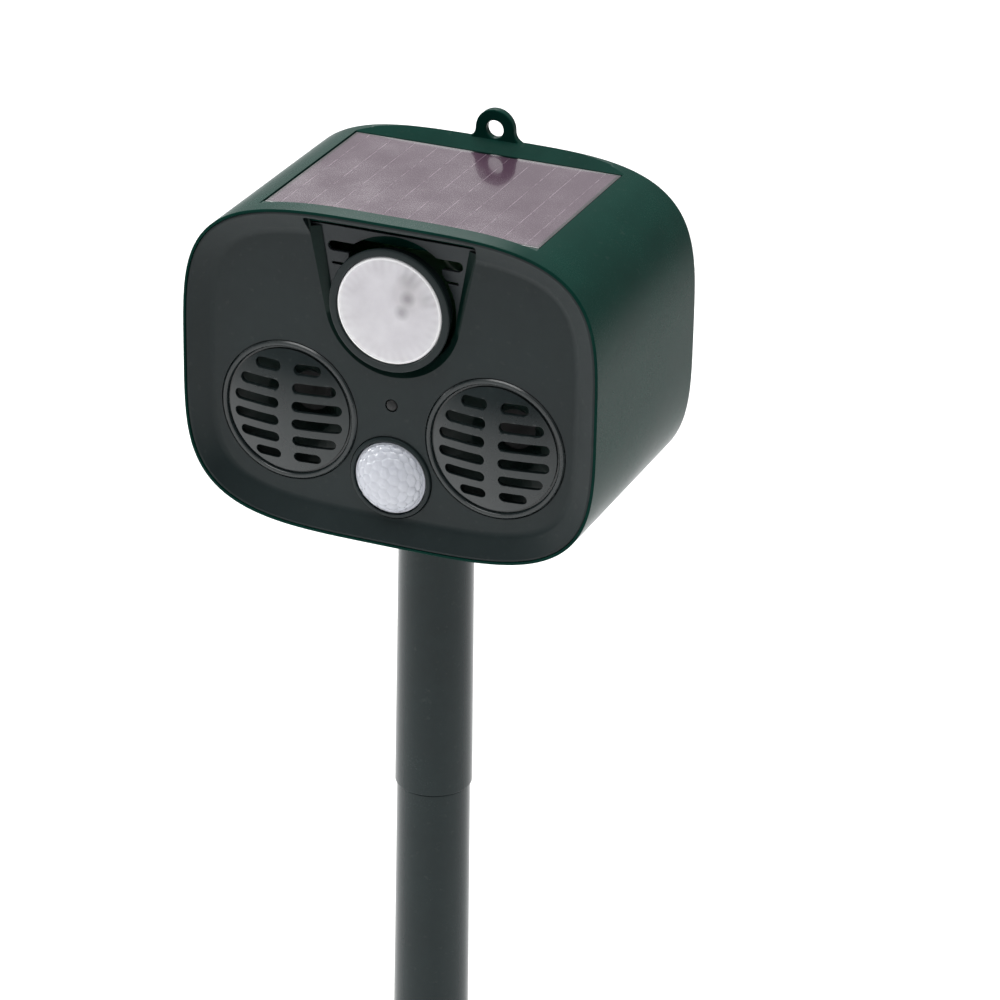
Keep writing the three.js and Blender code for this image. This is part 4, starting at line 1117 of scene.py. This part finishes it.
round_edges(sheet, 0.3 * MM, 40, 2)
hand_over(sheet, solar, "head", "solar_sheet", "solar_cover_sheet")

# %% [markdown]
# ## The pole
# Two equal tubes push together and widen slightly downwards, which is the draft that lets them
# leave the mould. Each is a thin closed profile spun about the pole's axis, with a rounded lip at
# both ends, so that the joint between them shows as one fine dark line.

# %% Tubes
lower_low, lower_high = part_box("lower_tube")
upper_low, upper_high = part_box("upper_tube")
TUBE_TOP, TUBE_FOOT, TUBE_WALL = 12.6 * MM, 13.3 * MM, 1.9 * MM


def tube(name, foot, top, spigot=None):
    lip = 0.4 * MM
    profile = [
        (TUBE_FOOT - TUBE_WALL, foot),
        (TUBE_FOOT - lip, foot),
        (TUBE_FOOT - lip * 0.3, foot + lip * 0.3),
        (TUBE_FOOT, foot + lip),
        (TUBE_TOP, top - lip),
        (TUBE_TOP - lip * 0.3, top - lip * 0.3),
        (TUBE_TOP - lip, top),
    ]
    neck = TUBE_TOP - TUBE_WALL
    if spigot:
        bore = neck - TUBE_WALL
        profile += [(neck, top), (neck, spigot - 1 * MM), (neck - 0.6 * MM, spigot), (bore, spigot)]
        profile += [(bore, top - 4 * MM), (neck, top - 4 * MM)]
    else:
        profile += [(neck, top)]
    return upright(name, profile, 96)


upper = tube("top_tube", upper_low.z, upper_high.z)
lower = tube("bottom_tube", lower_low.z, lower_low.z + 125 * MM, lower_high.z)
hand_over(upper, pole_grey, "stake", "pole_plastic", "upper_tube")
hand_over(lower, pole_grey, "stake", "pole_plastic", "lower_tube")

# %% [markdown]
# The spike is a cross of two thin blades under a flange. The blades are slabs whose edges are
# bevelled to a cutting thinness, and the flange is turned with a rounded rim.

# %% Ground spike
spike_low, spike_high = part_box("ground_spike")
PLUG = TUBE_FOOT - TUBE_WALL - 0.5 * MM
spike = upright("spike", [
    (0, spike_high.z),
    (PLUG - 1 * MM, spike_high.z),
    (PLUG - 0.2 * MM, spike_high.z - 1 * MM),
    (PLUG, 3 * MM),
    (18.5 * MM, 3 * MM),
    (19.8 * MM, 2.6 * MM),
    (20.4 * MM, 1.7 * MM),
    (21 * MM, 0.5 * MM),
    (20.7 * MM, 0),
    (0, 0),
], 96)
blade_outline = [
    (-13 * MM, 0.5 * MM), (-12 * MM, spike_low.z * 0.72), (-1 * MM, spike_low.z),
    (1 * MM, spike_low.z), (12 * MM, spike_low.z * 0.72), (13 * MM, 0.5 * MM),
]
for turn in (0, 90):
    blade = slab("blade", blade_outline, -1.3 * MM, 1.3 * MM)
    round_edges(blade, 0.8 * MM, 60, 2)
    weld(spike, swing(blade, turn, "Z", (0, 0, 0)))
for level in (-30, -58, -86):
    for turn in (0, 90):
        web = block("web", (-9 * MM, -4 * MM, level * MM - 1 * MM), (9 * MM, 4 * MM, level * MM + 1 * MM))
        weld(spike, swing(web, turn, "Z", (0, 0, 0)))
tidy(spike)
hand_over(spike, pole_grey, "stake", "pole_plastic", "ground_spike")

# %% [markdown]
# ## The rear cover
# The cover carries the battery well and a sunk strip for the controls. Both are boxes welded on
# from inside and then hollowed from behind, so wall thickness is simply the difference.

# %% Cover plate, well and pan
BATTERY = HEAD + 19 * MM
WELL_WIDE, WELL_TALL = 29 * MM, 23.2 * MM
WELL_FLOOR = COVER_FRONT - 17 * MM
CONTROL = HEAD - 27.5 * MM
STRIP_WIDE, STRIP_TALL = 42 * MM, 11 * MM
STRIP_FLOOR = COVER_BACK - 6 * MM
DIALS = {"mode_dial": -13 * MM, "sensitivity_dial": 13 * MM}
BUTTON_X, USB_X = -33 * MM, 33 * MM

cover = slab("back_cover", casing_outline(1.9 * MM), COVER_FRONT, COVER_BACK)
pick(cover, flat_edge(COVER_BACK), "EDGE")
bpy.ops.mesh.bevel(offset=0.5 * MM, segments=3)
bpy.ops.object.mode_set(mode="OBJECT")
inner_wall = 1.6 * MM
well = block(
    "well",
    (-WELL_WIDE - inner_wall, WELL_FLOOR - inner_wall, BATTERY - WELL_TALL - inner_wall),
    (WELL_WIDE + inner_wall, COVER_BACK - 0.8 * MM, BATTERY + WELL_TALL + inner_wall),
)
pan_outline = rounded_box((0, CONTROL), STRIP_WIDE + 1.8 * MM, STRIP_TALL + 1.8 * MM, 4.8 * MM)
pan = slab("pan", pan_outline, STRIP_FLOOR - 2 * MM, COVER_BACK - 0.8 * MM)
weld(cover, well, pan)
print("cover blank", len(cover.data.polygons), "faces")

# %% [markdown]
# From behind come the battery space, the step that the door lies in, the control strip, and a hole
# for each spindle, the button, the socket and the screws. Each cut runs on past the back, so that
# no two faces lie in one plane.

# %% Openings in the cover
beyond = BACK + 1 * MM
behind = STRIP_FLOOR - 3 * MM
cut(cover, block(
    "cells_space",
    (-WELL_WIDE, WELL_FLOOR, BATTERY - WELL_TALL),
    (WELL_WIDE, beyond, BATTERY + WELL_TALL),
))
door_seat = rounded_box((0, BATTERY), WELL_WIDE + 2.4 * MM, WELL_TALL + 2.4 * MM, 3 * MM)
cut(cover, slab("door_seat", door_seat, COVER_BACK - 1.8 * MM, beyond))
cut(cover, slab("strip", rounded_box((0, CONTROL), STRIP_WIDE, STRIP_TALL, 3 * MM), STRIP_FLOOR, beyond))
cut(cover, drill("button_hole", 4.7 * MM, behind, beyond, (BUTTON_X, CONTROL), 48))
cut(cover, slab("usb_hole", rounded_box((USB_X, CONTROL), 5.2 * MM, 2.2 * MM, 1.2 * MM), behind, beyond))
for x in DIALS.values():
    cut(cover, drill("spindle_hole", 3.2 * MM, behind, beyond, (x, CONTROL), 40))
for spot in SCREWS:
    cut(cover, drill("screw_hole", 2 * MM, COVER_FRONT - 1 * MM, beyond, spot, 32))
    cut(cover, drill("screw_seat", 4.1 * MM, COVER_BACK - 1.5 * MM, beyond, spot, 48))
print("cover opened", len(cover.data.polygons), "faces")

# %% [markdown]
# A dial needs a scale. Small raised bars stand round each one, longer at both ends of its travel.
# One bar is made and copied, and each copy is turned about the dial's centre. Rotation is given its
# centre outright, because the pivot setting isn't read when there is no window.

# %% Dial scales
def tick(name, x, angle, length):
    bar = block(
        name,
        (x - 0.22 * MM, STRIP_FLOOR - 0.3 * MM, CONTROL + 9.2 * MM),
        (x + 0.22 * MM, STRIP_FLOOR + 0.22 * MM, CONTROL + 9.2 * MM + length),
    )
    return swing(bar, angle, "Y", (x, 0, CONTROL))


for name, x in DIALS.items():
    for index in range(10):
        longer = index in (0, 9)
        weld(cover, tick("tick", x, -135 + index * 30, (1.5 if longer else 0.9) * MM))
tidy(cover)
round_edges(cover, 0.2 * MM, 50, 2)
hand_over(cover, casing_green, "head", "shell_green", "rear_cover")

# %% [markdown]
# The battery door lifts off after one screw. Finger ribs are cut across its top. Its edge is
# rounded and it stops just short of its seat, which leaves the even dark line of a real lid.

# %% Battery door
DOOR_FRONT = COVER_BACK - 1.5 * MM
door_outline = rounded_box((0, BATTERY), WELL_WIDE + 2.1 * MM, WELL_TALL + 2.1 * MM, 2.7 * MM)
door = slab("battery_lid", door_outline, DOOR_FRONT, COVER_BACK)
for index in range(4):
    groove = long_slot(-9 * MM, 9 * MM, BATTERY + (9 + index * 2.6) * MM, 1.1 * MM)
    cut(door, slab("finger_groove", groove, COVER_BACK - 0.6 * MM, beyond))
DOOR_SCREW = (0, BATTERY - WELL_TALL + 3.4 * MM)
cut(door, drill("door_screw_hole", 1.8 * MM, WELL_FLOOR, beyond, DOOR_SCREW, 32))
cut(door, drill("door_screw_seat", 3.4 * MM, COVER_BACK - 0.9 * MM, beyond, DOOR_SCREW, 48))
tidy(door)
round_edges(door, 0.25 * MM, 50, 2)
hand_over(door, casing_green, "head", "shell_green", "battery_door")

# %% [markdown]
# Screws repeat, so one is modelled and copied. A domed head is spun, and the driver's cross is cut
# into it with two thin blocks.

# %% Screws
def screw(name, spot, head_radius, seat, top, tip, cross):
    thick = top - seat
    body = turned(name, [
        (0, tip),
        (0.7 * MM, tip),
        (1.3 * MM, tip + 1.6 * MM),
        (1.3 * MM, seat),
        (head_radius, seat),
        (head_radius, top - thick * 0.55),
        (head_radius * 0.93, top - thick * 0.28),
        (head_radius * 0.7, top - thick * 0.08),
        (0, top),
    ], spot, 48)
    x, z = spot
    for wide, tall in cross:
        groove = ((x - wide, top - thick * 0.7, z - tall), (x + wide, top + 1 * MM, z + tall))
        cut(body, block("driver", *groove))
    tidy(body)
    return round_edges(body, 0.08 * MM, 50, 1)


CROSS_DRIVE = ((2.1 * MM, 0.38 * MM), (0.38 * MM, 2.1 * MM))
SLOT_DRIVE = ((2.3 * MM, 0.4 * MM),)
first = screw("cover_screw_1", SCREWS[0], 3.8 * MM, COVER_BACK - 1.2 * MM, COVER_BACK - 0.2 * MM,
              COVER_FRONT - 11 * MM, CROSS_DRIVE)
screws = [first]
for number, spot in enumerate(SCREWS[1:], 2):
    shift = (spot[0] - SCREWS[0][0], 0, spot[1] - SCREWS[0][1])
    screws.append(copy_to(first, f"cover_screw_{number}", shift))
sides = ("lower_left", "upper_left", "lower_right", "upper_right")
for piece, side in zip(screws, sides):
    hand_over(piece, bright_steel, "head", "steel", f"rear_cover_screw_{side}")
door_screw = screw("lid_screw", DOOR_SCREW, 3.1 * MM, COVER_BACK - 0.6 * MM, COVER_BACK - 0.1 * MM,
                   DOOR_FRONT - 3.4 * MM, SLOT_DRIVE)
hand_over(door_screw, bright_steel, "head", "steel", "battery_door_screw")

# %% [markdown]
# ## The controls
# Two fluted dials, a rubber button and a rubber flap over the charging socket. A dial is a spun
# knob with eight flutes cut round it and a white pointer let into its top, in a second material.

# %% Dials
pointer_white = moulded_plastic("pointer_white", paint(224, 226, 222), paint(238, 238, 234), 0.45)


def dial(name, x):
    foot = STRIP_FLOOR + 0.3 * MM
    top = foot + 4.8 * MM
    knob = turned(name, [
        (0, STRIP_FLOOR - 6.5 * MM),
        (2.9 * MM, STRIP_FLOOR - 6.5 * MM),
        (2.9 * MM, foot),
        (8.5 * MM, foot),
        (8.5 * MM, foot + 1.2 * MM),
        (8.1 * MM, top - 1 * MM),
        (7.9 * MM, top - 0.45 * MM),
        (7.4 * MM, top - 0.1 * MM),
        (6.8 * MM, top),
        (6.2 * MM, top - 0.25 * MM),
        (0, top - 0.25 * MM),
    ], (x, CONTROL), 96)
    for index in range(8):
        angle = math.radians(22.5 + 45 * index)
        centre = (x + 8.7 * MM * math.cos(angle), CONTROL + 8.7 * MM * math.sin(angle))
        cut(knob, drill("flute", 0.8 * MM, foot + 1.4 * MM, top + 1 * MM, centre, 20))
    cut(knob, block(
        "pointer",
        (x - 0.5 * MM, top - 0.6 * MM, CONTROL + 1.5 * MM),
        (x + 0.5 * MM, top + 1 * MM, CONTROL + 6.1 * MM),
    ))
    tidy(knob)
    round_edges(knob, 0.15 * MM, 45, 2)
    node = name.replace("_knob", "")
    hand_over(knob, black_plastic, node, "black_plastic", node)

    def pointer_floor(centre, normal):
        across_pointer = abs(centre.x - x) < 0.45 * MM
        along_pointer = CONTROL + 1.6 * MM < centre.z < CONTROL + 6 * MM
        return across_pointer and along_pointer and abs(centre.y - (top - 0.6 * MM)) < 0.1 * MM

    repaint(knob, pointer_white, pointer_floor)
    return knob


knobs = [dial(f"{name}_knob", x) for name, x in DIALS.items()]
print("dials", [knob.name for knob in knobs])

# %% [markdown]
# The button is a moulded rubber cap with a shallow dish for the finger. The flap is a pad with a
# knuckle on its hinge side and a tab to pull.

# %% Button and flap
PAN_BACK = STRIP_FLOOR - 2.3 * MM
button = turned("push_button", [
    (0, PAN_BACK - 4.4 * MM),
    (1.8 * MM, PAN_BACK - 4.4 * MM),
    (1.8 * MM, PAN_BACK - 1.4 * MM),
    (6 * MM, PAN_BACK - 1.4 * MM),
    (6 * MM, PAN_BACK),
    (4.4 * MM, PAN_BACK),
    (4.4 * MM, STRIP_FLOOR + 2.4 * MM),
    (4.15 * MM, STRIP_FLOOR + 2.95 * MM),
    (3.6 * MM, STRIP_FLOOR + 3.2 * MM),
    (2.9 * MM, STRIP_FLOOR + 3.05 * MM),
    (1.6 * MM, STRIP_FLOOR + 2.8 * MM),
    (0, STRIP_FLOOR + 2.7 * MM),
], (BUTTON_X, CONTROL), 64)
hand_over(button, rubber, "power_button", "rubber", "power_button")

FLAP = STRIP_FLOOR + 0.3 * MM
flap_outline = rounded_box((USB_X, CONTROL), 7 * MM, 4.6 * MM, 1.6 * MM)
flap = slab("charging_flap", flap_outline, FLAP, FLAP + 1.8 * MM)
knuckle = block(
    "knuckle",
    (USB_X - 7.9 * MM, FLAP, CONTROL - 3 * MM),
    (USB_X - 6.4 * MM, FLAP + 1.8 * MM, CONTROL + 3 * MM),
)
tab_outline = rounded_box((USB_X + 6 * MM, CONTROL), 1.2 * MM, 1.6 * MM, 0.6 * MM)
tab = slab("tab", tab_outline, FLAP + 1 * MM, FLAP + 3.2 * MM)
weld(flap, knuckle, tab)
for offset in (-1.6, 0, 1.6):
    rib = long_slot(USB_X - 3.5 * MM, USB_X + 3 * MM, CONTROL + offset * MM, 0.6 * MM)
    cut(flap, slab("rib", rib, FLAP + 1.55 * MM, FLAP + 4 * MM))
tidy(flap)
round_edges(flap, 0.25 * MM, 45, 2)
hand_over(flap, rubber, "usb_flap", "rubber", "usb_flap")

# %% [markdown]
# ## Parts kept from the frame
# What sits inside the casing keeps its engineering shape: boards, chips, horns, cells and seals.
# Each gets a finish in place of its plain colour, so the inside looks real through the slots.

# %% Finish the inner parts
horn_plastic = moulded_plastic("horn_plastic", paint(14, 34, 30), paint(22, 46, 41), 0.45, grain=0.03)
contact_steel = plated_metal("contact_steel", paint(205, 202, 194), paint(170, 166, 158), 0.32, (1, 8, 1))
inner_parts = {
    rubber: ("front_gasket", "rear_gasket"),
    board_green: ("lamp_board", "pir_board", "main_circuit_board", "control_board", "solar_backing_board"),
    phosphor: ("lamp_led",),
    horn_plastic: ("speaker_horn_left", "speaker_horn_right"),
    black_plastic: (
        "piezo_driver_left", "piezo_driver_right", "controller_chip", "speaker_driver_chip", "charger_chip",
        "power_switch",
    ),
    bright_steel: (
        "pir_sensor", "supply_capacitor", "lamp_capacitor", "usb_socket",
        "mode_potentiometer", "sensitivity_potentiometer",
    ),
    contact_steel: ("battery_contact_left", "battery_contact_right"),
    copper_wire: ("board_coil",),
    cell_sleeve: ("battery_cell_1", "battery_cell_2", "battery_cell_3"),
    solar: ("solar_cells",),
}
for look, names in inner_parts.items():
    for name in names:
        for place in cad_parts[name].material_slots:
            place.material = look.material
print("kept parts finished", sum(len(names) for names in inner_parts.values()))

# %% [markdown]
# ## Floor
# A wide pale floor lies just below the tip of the spike. It runs out so far that its edge fades
# into the bright background.

# %% Floor
floor_finish = Look("floor_paper")
floor_tone = floor_finish.noise(3, 2)
floor_finish.set(
    Base_Color=floor_finish.between(floor_tone, paint(246, 246, 246), paint(250, 250, 250)),
    Roughness=0.9,
)
activate(None)
bpy.ops.mesh.primitive_plane_add(size=24, location=(0, 0, spike_low.z - 1 * MM))
floor = bpy.context.object
floor.name = "floor"
floor.data.materials.append(floor_finish.material)
print("floor at", round(floor.location.z, 4))
